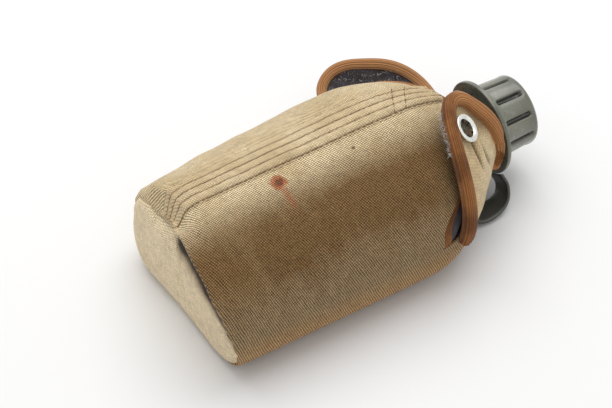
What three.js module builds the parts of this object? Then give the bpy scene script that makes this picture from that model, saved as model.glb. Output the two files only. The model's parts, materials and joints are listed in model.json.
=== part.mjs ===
// A one-quart military canteen lying on its back in its canvas carrier.
// Millimetres. +X runs from the base to the cap, +Z is up, the front of the carrier is on top.
// The carrier, its lining and the bottle are layers of one body surface, so each size is written once.
import * as THREE from 'three';

// Carrier body
const COVER_WIDTH = 121;
const COVER_DEPTH = 73;
const WIDEST_HEIGHT = 31;
const FRONT_POWER = 2.15;
const BACK_POWER = 3.2;
const BACK_HOLLOW = 11.8;
const HOLLOW_HALF_WIDTH = 38;
const FOOT_TRIM = 4;
const FOOT_ROUND = 3;
const HOLLOW_FADE = 50;
const BASE_X = -3;
const BASE_ROUND_LENGTH = 19;
const BASE_TAPER_LENGTH = 48;
const BASE_WIDTH_LOSS = 9.5;
const BASE_TOP_LOSS = 13;
const BASE_BACK_LIFT = 3;
const BASE_LEAN = 9;
const LEAN_LENGTH = 60;
const SHOULDER_START = 112;
const NECK_SEAT = 172;
const SHOULDER_POWER = 2.3;
const SHOULDER_TOP_POWER = 3.4;
const AXIS_HEIGHT = 37;
const NECK_SEAT_RADIUS = 21;

// Cloth layers and the clearances between them
const CANVAS = 1.2;
const FELT = 1.8;
const LAYER_GAP = 0.3;
const SEAM_GAP = 0.4;
const FELT_DEPTH = CANVAS + LAYER_GAP;
const BOTTLE_DEPTH = FELT_DEPTH + FELT + 2 * LAYER_GAP;
const SHOULDER_SLACK = 1.6;
const SLACK_LENGTH = 12;

// Carrier mouth: the slit ends at the narrow sides and climbs to the neck at the middle
const SLIT_INSET = 14;
const MOUTH_MARGIN = 12;
const SLIT_X = SHOULDER_START + SLIT_INSET;
const MOUTH_RISE = NECK_SEAT - MOUTH_MARGIN - SLIT_X;
const MOUTH_POWER = 0.8;
const BINDING_WIDTH = 4.2;
const BINDING_EXTRA = 0.5;
const BINDING_GAP = 0.8;

// Stitched strip on the front
const STRIP_CENTRE_Y = 14;
const STRIP_WIDTH = 24.5;
const STRIP_THICK = 1;
const STRIP_SHOULDER_STEPS = 7;
const STRIP_STOP = 1.5;

// Flaps: half-round tongues folded over the shoulders
const SHOULDER_LENGTH = NECK_SEAT - SHOULDER_START;
const FLAP_ROOT_X = SHOULDER_START + 0.65 * SHOULDER_LENGTH;
const FLAP_TIP_X = SHOULDER_START + 0.67 * SHOULDER_LENGTH;
const FLAP_ROOT_HALF = 0.355 * SHOULDER_LENGTH;
const FLAP_TIP_HALF = 0.41 * SHOULDER_LENGTH;
const FLAP_ROOT_TURN = 1.0;
const FLAP_TIP_TURN = 0.09;
const FLAP_ROOT_LIFT = 1.1;
const FLAP_TIP_LIFT = 1.6;
const FLAP_RIM_CURL = 3.2;
const FLAP_TILT = 8;
const FLAP_RIM_WIDTH = 5.5;
const FLAP_FELT = 1.2;
// The far flap lies open on a straight root line, cupped with its lining up
const FAR_ROOT_TURN = 1.0;
const FAR_ROOT_X = SHOULDER_START + 0.58 * SHOULDER_LENGTH;
const FAR_HALF = 0.415 * SHOULDER_LENGTH;
const FAR_ROOT_GAP = 0.4;
const FAR_REACH = [9, 33, 3];
const FAR_SQUARENESS = 3;
const FAR_SAG = 7;
const FAR_SPREAD = 3;

// Press stud on the near flap, and its partner
const SNAP_RADIUS = 8;
const SNAP_HOLE = 4.6;
const SNAP_HEIGHT = 1.6;
const SNAP_ALONG = 0.7;
const SNAP_ACROSS = -0.16;
const SNAP_SEAT_GAP = 0.75;
const STUD_RADIUS = 5;
const STUD_HEIGHT = 1.4;

// Bottle, neck and cap
const BOTTLE_WALL = 1.9;
const NECK_RADIUS = 17;
const NECK_BORE = 14;
const NECK_FOOT = NECK_SEAT + 0.5;
const FLOOR_CORNER = 4;
const CAP_LENGTH = 23;
const CAP_RADIUS = 21;
const CAP_TAPER = 0.8;
const CAP_GROOVES = 10;
const CAP_GROOVE_DEPTH = 1.7;
const CAP_TOP_THICK = 2.4;
const CAP_ROUND = 2.4;
const THREAD_GAP = 0.8;
const GASKET_THICK = 1.6;

// Cap strap: a ring under the cap, a collar on the neck and a bent band between them
const RING_RADIUS = 27;
const RING_THICK = 2.6;
const RING_DROP = 1.5;
const COLLAR_RADIUS = 23;
const COLLAR_THICK = 3;
const COLLAR_SEAT = 3;
const COLLAR_START = NECK_FOOT + COLLAR_SEAT;
const CAP_ROOM = 7.5;
const CAP_START = COLLAR_START + COLLAR_THICK + CAP_ROOM;
const CAP_END = CAP_START + CAP_LENGTH;
const NECK_END = CAP_END - CAP_TOP_THICK - GASKET_THICK - 2 * LAYER_GAP;
const STRAP_WIDTH = 13;
const STRAP_THICK = 2.4;
// The middle of the band from the ring round to the collar: x from the cap, out from the neck axis,
// direction of that in degrees, and the way the band faces in degrees
const STRAP_WAY = [
  [-1.6, 29.4, 235, 235],
  [-0.9, 35, 232, 240],
  [-4.6, 41.2, 230, 252],
  [-12.5, 44.4, 229, 266],
  [-22.5, 44.6, 229, 270],
  [-27.2, 40.4, 230, 262],
  [-24.6, 33.4, 232, 248],
  [-17.5, 27.8, 234, 237],
  [-9.2, 24.9, 235, 235],
];

// Belt hanger on the hollow back
const WEB_WIDTH = 38;
const WEB_THICK = 1.4;
const WEB_START = 62;
const WEB_END = 104;
const WIRE_RADIUS = 1.5;
const KEEPER_STEP = 4;
const HOOK_X = WEB_END + KEEPER_STEP;
const HOOK_HALF_WIDTH = 24;
const HOOK_LENGTH = 34;
const HOOK_RETURN = 12;
const KEEPER_WALL = 1.1;
const KEEPER_WIDTH = 34;

// Mesh fineness
const STEPS_BODY = 7;
const BASE_CROWDING = 2;
const STEPS_SHOULDER = 7;
const STEPS_HALF_ROUND = 20;
const STEPS_ARC = 400;
const BUTTON_SEGMENTS = 28;
const WIRE_SEGMENTS = 8;

const clamp01 = (v) => Math.min(1, Math.max(0, v));
const ease = (v) => clamp01(v) ** 2 * (3 - 2 * clamp01(v));
const lerp = (a, b, s) => a + (b - a) * s;
const radians = (deg) => deg * Math.PI / 180;
// The larger of two heights, with the corner between them rounded over a height k
const softMax = (a, b, k) => Math.max(a, b) + Math.max(k - Math.abs(a - b), 0) ** 2 / (4 * k);
const signedPower = (v, p) => Math.sign(v) * Math.abs(v) ** p;

// Sizes of the cross-section at station x
function girth(x) {
  const base = clamp01(1 - (x - BASE_X) / BASE_ROUND_LENGTH) ** 2;
  const taper = clamp01(1 - (x - BASE_X) / BASE_TAPER_LENGTH) ** 2;
  const neck = clamp01((x - SHOULDER_START) / (NECK_SEAT - SHOULDER_START));
  const full = 1 - neck ** SHOULDER_POWER;
  const fullTop = 1 - neck ** SHOULDER_TOP_POWER;
  return {
    half: lerp(NECK_SEAT_RADIUS, COVER_WIDTH / 2 - BASE_WIDTH_LOSS * taper, full),
    top: lerp(AXIS_HEIGHT + NECK_SEAT_RADIUS, COVER_DEPTH - BASE_TOP_LOSS * base, fullTop),
    bottom: lerp(AXIS_HEIGHT - NECK_SEAT_RADIUS, BASE_BACK_LIFT * base - FOOT_TRIM, full),
    foot: lerp(AXIS_HEIGHT - NECK_SEAT_RADIUS, BASE_BACK_LIFT * base, full),
    middle: lerp(AXIS_HEIGHT, WIDEST_HEIGHT, full),
    frontPower: lerp(2, FRONT_POWER, full),
    backPower: lerp(2, BACK_POWER, full),
    hollow: BACK_HOLLOW * full * ease((x - BASE_X) / HOLLOW_FADE),
  };
}

// The base leans: its back edge stands out and its front edge is drawn in
function leanAt(x, z) {
  return BASE_LEAN * (z - WIDEST_HEIGHT) / COVER_DEPTH * clamp01(1 - (x - BASE_X) / LEAN_LENGTH) ** 2;
}

// Outer face of the carrier at station x and angle t (0 far side, quarter turn front)
function facePoint(x, t) {
  const g = girth(x);
  const front = Math.sin(t) >= 0;
  const power = front ? g.frontPower : g.backPower;
  const y = g.half * signedPower(Math.cos(t), 2 / power);
  const rise = Math.abs(Math.sin(t)) ** (2 / power);
  if (front) {
    const z = g.middle + (g.top - g.middle) * rise;
    return new THREE.Vector3(x + leanAt(x, z), y, z);
  }
  const reach = HOLLOW_HALF_WIDTH * g.half / (COVER_WIDTH / 2);
  const dent = g.hollow * Math.max(0, 1 - (y / reach) ** 4);
  const z = softMax(g.middle - (g.middle - g.bottom) * rise + dent, g.foot, FOOT_ROUND);
  return new THREE.Vector3(x + leanAt(x, z), y, z);
}

// The same face moved inward by depth (outward when negative)
function layerPoint(x, t, depth) {
  const dx = 0.4;
  const dt = 0.01;
  const along = facePoint(x + dx, t).sub(facePoint(x - dx, t));
  const round = facePoint(x, t + dt).sub(facePoint(x, t - dt));
  const normal = round.cross(along).normalize();
  return facePoint(x, t).addScaledVector(normal, -depth);
}

// Angles spaced evenly by length over the front half or the back half of the mid section
function evenAngles(from, to) {
  const x = (BASE_ROUND_LENGTH + SHOULDER_START) / 2;
  const spread = (s) => lerp(from, to, (1 - Math.cos(Math.PI * s)) / 2);
  const sums = [0];
  let last = facePoint(x, from);
  for (let i = 1; i <= STEPS_ARC; i += 1) {
    const next = facePoint(x, spread(i / STEPS_ARC));
    sums.push(sums[i - 1] + next.distanceTo(last));
    last = next;
  }
  return (share) => {
    const want = clamp01(share) * sums[STEPS_ARC];
    let i = 1;
    while (i < STEPS_ARC && sums[i] < want) {
      i += 1;
    }
    const part = (want - sums[i - 1]) / (sums[i] - sums[i - 1]);
    return spread((i - 1 + part) / STEPS_ARC);
  };
}
const frontAngle = evenAngles(0, Math.PI);
const backAngle = evenAngles(Math.PI, 2 * Math.PI);
const mouthX = (share) => SLIT_X + MOUTH_RISE * Math.sin(Math.PI * clamp01(share)) ** MOUTH_POWER;
const frontLength = (() => {
  let total = 0;
  for (let i = 0; i < STEPS_ARC; i += 1) {
    const a = facePoint(SHOULDER_START, frontAngle(i / STEPS_ARC));
    total += a.distanceTo(facePoint(SHOULDER_START, frontAngle((i + 1) / STEPS_ARC)));
  }
  return total;
})();
const seamShare = SEAM_GAP / frontLength;
function frontShareAtY(y) {
  let low = 0;
  let high = 1;
  for (let i = 0; i < 40; i += 1) {
    const mid = (low + high) / 2;
    if (facePoint(SHOULDER_START - 1, frontAngle(mid)).y > y) {
      low = mid;
    } else {
      high = mid;
    }
  }
  return (low + high) / 2;
}

// Closed solid from points and triangles, faces turned outward
function solid(points, faces) {
  let volume = 0;
  for (const [a, b, c] of faces) {
    volume += points[a].dot(points[b].clone().cross(points[c]));
  }
  const geometry = new THREE.BufferGeometry();
  const flat = points.flatMap((p) => [p.x, p.y, p.z]);
  const turned = volume < 0 ? faces.map(([a, b, c]) => [a, c, b]) : faces;
  geometry.setAttribute('position', new THREE.Float32BufferAttribute(flat, 3));
  geometry.setIndex(turned.flat());
  geometry.computeVertexNormals();
  return geometry;
}

// Slab between two grids: place(u, v, side) with side 0 outer and 1 inner
function slab(place, us, vs) {
  const points = [];
  const faces = [];
  const rows = us.length;
  const cols = vs.length;
  for (const side of [0, 1]) {
    for (const u of us) {
      for (const v of vs) {
        points.push(place(u, v, side));
      }
    }
  }
  const id = (side, i, j) => side * rows * cols + i * cols + j;
  const quad = (a, b, c, d) => faces.push([a, b, c], [a, c, d]);
  for (let i = 0; i + 1 < rows; i += 1) {
    for (let j = 0; j + 1 < cols; j += 1) {
      quad(id(0, i, j), id(0, i + 1, j), id(0, i + 1, j + 1), id(0, i, j + 1));
      quad(id(1, i, j), id(1, i, j + 1), id(1, i + 1, j + 1), id(1, i + 1, j));
    }
  }
  for (let i = 0; i + 1 < rows; i += 1) {
    quad(id(0, i, 0), id(1, i, 0), id(1, i + 1, 0), id(0, i + 1, 0));
    quad(id(0, i, cols - 1), id(0, i + 1, cols - 1), id(1, i + 1, cols - 1), id(1, i, cols - 1));
  }
  for (let j = 0; j + 1 < cols; j += 1) {
    quad(id(0, 0, j), id(0, 0, j + 1), id(1, 0, j + 1), id(1, 0, j));
    quad(id(0, rows - 1, j), id(1, rows - 1, j), id(1, rows - 1, j + 1), id(0, rows - 1, j + 1));
  }
  return solid(points, faces);
}

// Stack of equal-length rings; ends closed with a fan, or first joined to last when looped
function ringStack(rings, looped) {
  const count = rings[0].length;
  const points = rings.flat();
  const faces = [];
  const last = looped ? rings.length : rings.length - 1;
  for (let i = 0; i < last; i += 1) {
    const a = i * count;
    const b = ((i + 1) % rings.length) * count;
    for (let j = 0; j < count; j += 1) {
      const k = (j + 1) % count;
      faces.push([a + j, b + j, b + k], [a + j, b + k, a + k]);
    }
  }
  if (!looped) {
    for (const [start, flip] of [[0, false], [(rings.length - 1) * count, true]]) {
      const centre = new THREE.Vector3();
      for (let j = 0; j < count; j += 1) {
        centre.add(points[start + j]);
      }
      points.push(centre.divideScalar(count));
      const hub = points.length - 1;
      for (let j = 0; j < count; j += 1) {
        const k = (j + 1) % count;
        faces.push(flip ? [hub, start + k, start + j] : [hub, start + j, start + k]);
      }
    }
  }
  return solid(points, faces);
}

const steps = (from, to, count) => Array.from({ length: count + 1 }, (_, i) => lerp(from, to, i / count));
const materials = {
  canvas: { color: 0xa8956c, roughness: 0.95, metalness: 0 },
  base: { color: 0xb29f79, roughness: 0.95, metalness: 0 },
  binding: { color: 0x7a4a26, roughness: 0.9, metalness: 0 },
  felt: { color: 0x35343a, roughness: 1, metalness: 0 },
  plastic: { color: 0x4a4d44, roughness: 0.45, metalness: 0 },
  rubber: { color: 0x2a2b29, roughness: 0.8, metalness: 0 },
  zinc: { color: 0xc4c8cc, roughness: 0.3, metalness: 1 },
  brass: { color: 0x5c5f4e, roughness: 0.5, metalness: 1 },
  wire: { color: 0x4b4c48, roughness: 0.5, metalness: 1 },
};
const group = new THREE.Group();
group.name = 'military_canteen';
function add(name, geometry, look) {
  const mesh = new THREE.Mesh(geometry, new THREE.MeshStandardMaterial(materials[look]));
  mesh.name = name;
  group.add(mesh);
  return mesh;
}

// Stations along a panel: crowded over the rounded base, then over the shoulder to the mouth
const SHOULDER_SHARE = 0.5;
function panelX(u, mouth) {
  if (u < SHOULDER_SHARE) {
    return lerp(BASE_X, SHOULDER_START, (u / SHOULDER_SHARE) ** BASE_CROWDING);
  }
  return lerp(SHOULDER_START, mouth, (u - SHOULDER_SHARE) / (1 - SHOULDER_SHARE));
}
const panelSteps = [
  ...steps(0, SHOULDER_SHARE, STEPS_BODY),
  ...steps(SHOULDER_SHARE, 1, STEPS_SHOULDER).slice(1),
];
// A panel can leave out the first stations, so that inner layers stop short of the base
function panel(angle, shares, first, trim, outer, inner) {
  return slab((u, share, side) => {
    const x = panelX(u, mouthX(share) - trim);
    return layerPoint(x, angle(share), side === 0 ? outer : inner);
  }, panelSteps.slice(first), shares);
}

// Carrier panels, lining and base
const stripMid = frontShareAtY(STRIP_CENTRE_Y);
const stripFar = frontShareAtY(STRIP_CENTRE_Y + STRIP_WIDTH / 2);
const stripNear = frontShareAtY(STRIP_CENTRE_Y - STRIP_WIDTH / 2);
const FRONT_FAR_COLS = 9;
const FRONT_NEAR_COLS = 12;
const farShares = steps(seamShare, stripMid - seamShare / 2, FRONT_FAR_COLS);
const nearShares = steps(stripMid + seamShare / 2, 1 - seamShare, FRONT_NEAR_COLS);
const frontShares = [...farShares, ...nearShares];
const backShares = steps(seamShare, 1 - seamShare, STEPS_HALF_ROUND);
add('cover_front_far', panel(frontAngle, farShares, 0, 0, 0, CANVAS), 'canvas');
add('cover_front_near', panel(frontAngle, nearShares, 0, 0, 0, CANVAS), 'canvas');
add('cover_back', panel(backAngle, backShares, 0, 0, 0, CANVAS), 'canvas');
const liningStart = panelX(panelSteps[1], SHOULDER_START);
const feltInner = FELT_DEPTH + FELT;
add('lining_front', panel(frontAngle, frontShares, 1, 1, FELT_DEPTH, feltInner), 'felt');
add('lining_back', panel(backAngle, backShares, 1, 1, FELT_DEPTH, feltInner), 'felt');

function fullRing(x, depth) {
  const half = steps(0, 1, STEPS_HALF_ROUND).slice(0, -1);
  return [
    ...half.map((share) => layerPoint(x, frontAngle(share), depth)),
    ...half.map((share) => layerPoint(x, backAngle(share), depth)),
  ];
}
const atX = (ring, x) => ring.map((p) => new THREE.Vector3(x + leanAt(x, p.z), p.y, p.z));
const baseRing = fullRing(BASE_X, CANVAS + SEAM_GAP);
add('cover_base', ringStack([atX(baseRing, BASE_X), atX(baseRing, BASE_X + CANVAS)], false), 'base');

// Stitched strip laid over the front join, from the base edge to the shoulder
const stripSteps = panelSteps.slice(0, STEPS_BODY + STRIP_SHOULDER_STEPS + 1);
add('centre_strip', slab((u, share, side) => {
  const depth = side === 0 ? -LAYER_GAP - STRIP_THICK : -LAYER_GAP;
  return layerPoint(panelX(u, mouthX(share) - STRIP_STOP), frontAngle(share), depth);
}, stripSteps, steps(stripFar, stripNear, 6)), 'canvas');

// Bindings closed round the mouth edges of the front and the back
function mouthBinding(angle, shares) {
  return slab((u, share, side) => {
    const x = mouthX(share) + BINDING_GAP + BINDING_WIDTH * u;
    const depth = side === 0 ? -BINDING_EXTRA : feltInner;
    return layerPoint(x, angle(share), depth);
  }, [0, 0.5, 1], shares);
}
add('mouth_binding_front', mouthBinding(frontAngle, frontShares), 'binding');
add('mouth_binding_back', mouthBinding(backAngle, backShares), 'binding');

// Bottle: an open shell parallel to the lining, and the tube of its neck
const bottleStart = liningStart + FELT + LAYER_GAP;
const bottleX = [
  bottleStart,
  ...panelSteps.slice(2, STEPS_BODY + 1).map((u) => panelX(u, NECK_SEAT)),
  ...steps(SHOULDER_START, NECK_SEAT - FLOOR_CORNER, STEPS_SHOULDER).slice(1),
];
const slack = (x) => SHOULDER_SLACK * clamp01((x - SHOULDER_START) / SLACK_LENGTH);
const circle = (x, r) => Array.from({ length: 2 * STEPS_HALF_ROUND }, (_, i) => {
  const a = i / STEPS_HALF_ROUND * Math.PI;
  return new THREE.Vector3(x, r * Math.cos(a), AXIS_HEIGHT + r * Math.sin(a));
});
const bottleOuter = bottleX.map((x) => fullRing(x, BOTTLE_DEPTH + slack(x)));
const innerDepth = BOTTLE_DEPTH + BOTTLE_WALL;
const bottleInner = bottleX.slice(1).map((x) => fullRing(x, innerDepth + slack(x))).reverse();
const innerFloor = atX(fullRing(bottleX[1], innerDepth + FLOOR_CORNER), bottleX[0] + BOTTLE_WALL);
const mouthRings = [
  circle(NECK_FOOT, NECK_RADIUS),
  circle(NECK_FOOT, NECK_BORE),
  circle(NECK_FOOT - BOTTLE_WALL, NECK_BORE),
];
add('bottle', ringStack([...bottleOuter, ...mouthRings, ...bottleInner, innerFloor], false), 'plastic');
const neckStart = NECK_FOOT + LAYER_GAP;
add('bottle_neck', ringStack([
  circle(neckStart, NECK_RADIUS),
  circle(NECK_END, NECK_RADIUS),
  circle(NECK_END, NECK_BORE),
  circle(neckStart, NECK_BORE),
], true), 'plastic');

// Cap, gasket and strap
function turned(profile, count, shape) {
  return profile.map(([x, r, grooved]) => Array.from({ length: count }, (_, i) => {
    const a = i / count * 2 * Math.PI;
    const cut = grooved ? shape(a) * grooved : 0;
    return new THREE.Vector3(x, (r - cut) * Math.cos(a), AXIS_HEIGHT + (r - cut) * Math.sin(a));
  }));
}
const CAP_SEGMENTS = CAP_GROOVES * 8;
const groove = (a) => {
  const phase = (a / (2 * Math.PI) * CAP_GROOVES + 0.5) % 1;
  return CAP_GROOVE_DEPTH * Math.max(0, 1 - (Math.abs(phase - 0.5) / 0.2) ** 2);
};
const capInner = NECK_RADIUS + THREAD_GAP;
const capTip = CAP_RADIUS - CAP_TAPER;
const capCeiling = CAP_END - CAP_TOP_THICK;
const capProfile = [
  [CAP_END, capInner * 0.5, 0],
  [CAP_END, capTip - CAP_ROUND * 1.1, 0.2],
  [CAP_END - CAP_ROUND * 0.35, capTip - CAP_ROUND * 0.3, 0.8],
  [CAP_END - CAP_ROUND, capTip, 1],
  [CAP_START + 3.5, CAP_RADIUS, 1],
  [CAP_START + 2, CAP_RADIUS, 0.2],
  [CAP_START, CAP_RADIUS, 0],
  [CAP_START, capInner, 0],
  [capCeiling, capInner, 0],
  [capCeiling, capInner * 0.5, 0],
];
add('cap', ringStack(turned(capProfile, CAP_SEGMENTS, groove), false), 'plastic');

// Plain ring round the neck axis
function washer(x0, x1, inside, outside, count) {
  const corners = [[x0, inside, 0], [x0, outside, 0], [x1, outside, 0], [x1, inside, 0]];
  return ringStack(turned(corners, count, groove), true);
}
// The ring under the cap is loose, so it hangs on the top of the neck
const dropped = (geometry) => geometry.translate(0, 0, -RING_DROP);
const ROUND_SEGMENTS = 48;
const gasketStart = NECK_END + LAYER_GAP;
const gasketEnd = gasketStart + GASKET_THICK;
const gasketOuter = capInner - LAYER_GAP;
add('cap_gasket', washer(gasketStart, gasketEnd, NECK_BORE - 1, gasketOuter, ROUND_SEGMENTS), 'rubber');
const ringEnd = CAP_START - LAYER_GAP;
const ringStart = ringEnd - RING_THICK;
const ringInside = NECK_RADIUS + RING_DROP + LAYER_GAP;
add('cap_ring', dropped(washer(ringStart, ringEnd, ringInside, RING_RADIUS, ROUND_SEGMENTS)), 'plastic');
const collarEnd = COLLAR_START + COLLAR_THICK;
const collarInside = NECK_RADIUS + LAYER_GAP;
add('neck_collar', washer(COLLAR_START, collarEnd, collarInside, COLLAR_RADIUS, ROUND_SEGMENTS), 'plastic');

// Bent band of the strap: it leaves the ring, lies flat on the ground and comes back to the collar
const aroundNeck = (deg) => new THREE.Vector3(0, Math.cos(radians(deg)), Math.sin(radians(deg)));
const strapPath = new THREE.CatmullRomCurve3(STRAP_WAY.map(([x, r, turn]) => (
  aroundNeck(turn).multiplyScalar(r).add(new THREE.Vector3(CAP_START + x, 0, AXIS_HEIGHT)))));
const strapFacing = new THREE.CatmullRomCurve3(STRAP_WAY.map(([, , , facing]) => new THREE.Vector3(facing, 0, 0)));
const STRAP_STEPS = 32;
const STRAP_END_SHARE = 0.12;
add('strap_band', slab((u, v, side) => {
  const across = lerp(-STRAP_WIDTH / 2, STRAP_WIDTH / 2, v);
  const facing = aroundNeck(strapFacing.getPoint(u).x);
  const wide = new THREE.Vector3(1, 0, 0).cross(facing);
  const thick = strapPath.getTangent(u).cross(wide).normalize();
  const bend = (1 - Math.sqrt(1 - (across / RING_RADIUS) ** 2)) * RING_RADIUS;
  const ends = Math.max(0, 1 - Math.min(u, 1 - u) / STRAP_END_SHARE);
  return strapPath.getPoint(u)
    .addScaledVector(wide, across)
    .addScaledVector(facing, -bend * ends)
    .addScaledVector(thick, (side === 0 ? 1 : -1) * STRAP_THICK / 2);
}, steps(0, 1, STRAP_STEPS), steps(0, 1, 4)), 'plastic');

// Flaps, in half-disc terms: across -1..1 along the root, out 0..1 from root to tip
const sideAngle = (turn) => (turn <= 1 ? frontAngle(0.5 + turn / 2) : backAngle((turn - 1) / 2));
function flapPoint(across, out, lift) {
  const x = lerp(FLAP_ROOT_X, FLAP_TIP_X, out) + lerp(FLAP_ROOT_HALF, FLAP_TIP_HALF, out) * across;
  const rim = Math.hypot(across, out);
  const tilt = FLAP_TILT * out * (1 - across) / 2;
  const raise = FLAP_ROOT_LIFT + FLAP_TIP_LIFT * out ** 1.5 + FLAP_RIM_CURL * out * rim ** 4 + tilt;
  return layerPoint(x, sideAngle(lerp(FLAP_ROOT_TURN, FLAP_TIP_TURN, out)), -raise - lift);
}
const flapFeltTop = FLAP_FELT;
const flapClothFoot = flapFeltTop + LAYER_GAP;
const flapClothTop = flapClothFoot + CANVAS;
// Shares of a flap's half width and length that are inside its binding
function insideRim(surface, edge) {
  const halfWidth = surface(-1, 0, 0).distanceTo(surface(1, 0, 0)) / 2;
  const length = surface(0, 0, 0).distanceTo(surface(0, 1, 0));
  return [1 - edge / halfWidth, 1 - edge / length];
}
function flapSheet(surface, top, foot) {
  const [rimAcross, rimOut] = insideRim(surface, FLAP_RIM_WIDTH);
  return slab((u, v, side) => {
    const p = lerp(-1, 1, u);
    const across = rimAcross * p * Math.sqrt(1 - v * v / 2);
    const out = rimOut * v * Math.sqrt(1 - p * p / 2);
    return surface(across, out, side === 0 ? top : foot);
  }, steps(0, 1, 12), steps(0, 1, 8));
}
function flapRim(surface) {
  const [rimAcross, rimOut] = insideRim(surface, FLAP_RIM_WIDTH - SEAM_GAP);
  return slab((u, v, side) => {
    const across = -lerp(rimAcross, 1, v) * Math.cos(Math.PI * u);
    const out = lerp(rimOut, 1, v) * Math.sin(Math.PI * u);
    return surface(across, out, side === 0 ? flapClothTop + BINDING_EXTRA : -LAYER_GAP);
  }, steps(0, 1, 26), [0, 0.5, 1]);
}

// The far flap, open: its lining is on top, so its layers run the other way
const farRoot = (x, lift) => layerPoint(x, sideAngle(FAR_ROOT_TURN), -lift).multiply(new THREE.Vector3(1, -1, 1));
const farRootBase = farRoot(FAR_ROOT_X - FAR_HALF, 0);
const farRootNeck = farRoot(FAR_ROOT_X + FAR_HALF, 0);
const farRootOut = new THREE.Vector3(0, 0, 1).cross(farRootNeck.clone().sub(farRootBase)).normalize();
const farBulge = Math.max(...steps(-1, 1, 40).map((across) => (
  farRoot(FAR_ROOT_X + FAR_HALF * across, FAR_ROOT_GAP).sub(farRootBase).dot(farRootOut)
)));
function farFlapFace(roundAcross, roundOut) {
  const spread = Math.abs(roundAcross) ** FAR_SQUARENESS + Math.abs(roundOut) ** FAR_SQUARENESS;
  const grow = spread > 0 ? Math.hypot(roundAcross, roundOut) / spread ** (1 / FAR_SQUARENESS) : 1;
  const across = roundAcross * grow;
  const out = roundOut * grow;
  const p = farRootBase.clone().lerp(farRootNeck, (across + 1) / 2);
  p.addScaledVector(farRootOut, farBulge);
  p.addScaledVector(new THREE.Vector3(...FAR_REACH), out);
  p.x += FAR_SPREAD * across * Math.sin(Math.PI * out);
  p.z -= FAR_SAG * Math.sin(Math.PI * out);
  return p;
}
function farFlapPoint(across, out, lift) {
  const d = 0.02;
  const along = farFlapFace(across + d, out).sub(farFlapFace(across - d, out));
  const away = farFlapFace(across, out + d).sub(farFlapFace(across, out - d));
  const down = away.cross(along).normalize();
  if (down.z > 0) {
    down.negate();
  }
  return farFlapFace(across, out).addScaledVector(down, lift);
}

// Disc or ring standing on a flap along its normal
function flapButton(surface, profile, looped) {
  const d = 0.05;
  const at = SNAP_ACROSS;
  const seat = surface(at, SNAP_ALONG, 0);
  const side = surface(at + d, SNAP_ALONG, 0).sub(surface(at - d, SNAP_ALONG, 0)).normalize();
  const away = surface(at, SNAP_ALONG + d, 0).sub(surface(at, SNAP_ALONG - d, 0)).normalize();
  const up = new THREE.Vector3().crossVectors(side, away).normalize();
  if (up.dot(surface(at, SNAP_ALONG, 1).sub(seat)) < 0) {
    up.negate();
  }
  const third = new THREE.Vector3().crossVectors(up, side).normalize();
  const rings = profile.map(([r, h]) => Array.from({ length: BUTTON_SEGMENTS }, (_, i) => {
    const a = i / BUTTON_SEGMENTS * 2 * Math.PI;
    const p = seat.clone().addScaledVector(up, h);
    return p.addScaledVector(side, r * Math.cos(a)).addScaledVector(third, r * Math.sin(a));
  }));
  return ringStack(rings, looped);
}
const snapFoot = flapClothTop + SNAP_SEAT_GAP;
const snapRingProfile = [
  [SNAP_HOLE, snapFoot],
  [SNAP_RADIUS, snapFoot],
  [SNAP_RADIUS - 0.3, snapFoot + SNAP_HEIGHT * 0.6],
  [lerp(SNAP_HOLE, SNAP_RADIUS, 0.55), snapFoot + SNAP_HEIGHT],
  [SNAP_HOLE, snapFoot + SNAP_HEIGHT * 0.7],
];
const snapSocketProfile = [
  [SNAP_HOLE - LAYER_GAP, snapFoot],
  [SNAP_HOLE - LAYER_GAP, snapFoot + SNAP_HEIGHT * 0.35],
];
for (const [side, surface] of [['near', flapPoint], ['far', farFlapPoint]]) {
  add(`${side}_flap`, flapSheet(surface, flapClothTop, flapClothFoot), 'canvas');
  add(`${side}_flap_lining`, flapSheet(surface, flapFeltTop, 0), 'felt');
  add(`${side}_flap_binding`, flapRim(surface), 'binding');
  add(`${side}_snap_ring`, flapButton(surface, snapRingProfile, true), 'zinc');
  add(`${side}_snap_socket`, flapButton(surface, snapSocketProfile, false), 'brass');
}

// Stud on the front, under the near flap
function studOnFront(x, turn) {
  const t = sideAngle(turn);
  const seat = layerPoint(x, t, -LAYER_GAP);
  const up = layerPoint(x, t, -1).sub(layerPoint(x, t, 0)).normalize();
  const side = new THREE.Vector3(1, 0, 0).addScaledVector(up, -up.x).normalize();
  const third = new THREE.Vector3().crossVectors(up, side);
  const rings = [[STUD_RADIUS, 0], [STUD_RADIUS, 0.5], [STUD_RADIUS * 0.5, STUD_HEIGHT]];
  return ringStack(rings.map(([r, h]) => Array.from({ length: BUTTON_SEGMENTS }, (_, i) => {
    const a = i / BUTTON_SEGMENTS * 2 * Math.PI;
    const p = seat.clone().addScaledVector(up, h);
    return p.addScaledVector(side, r * Math.cos(a)).addScaledVector(third, r * Math.sin(a));
  })), false);
}
const snapTurn = lerp(FLAP_ROOT_TURN, FLAP_TIP_TURN, SNAP_ALONG);
const snapHalf = lerp(FLAP_ROOT_HALF, FLAP_TIP_HALF, SNAP_ALONG);
const snapX = lerp(FLAP_ROOT_X, FLAP_TIP_X, SNAP_ALONG) + SNAP_ACROSS * snapHalf;
add('near_stud', studOnFront(snapX, snapTurn), 'zinc');

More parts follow.
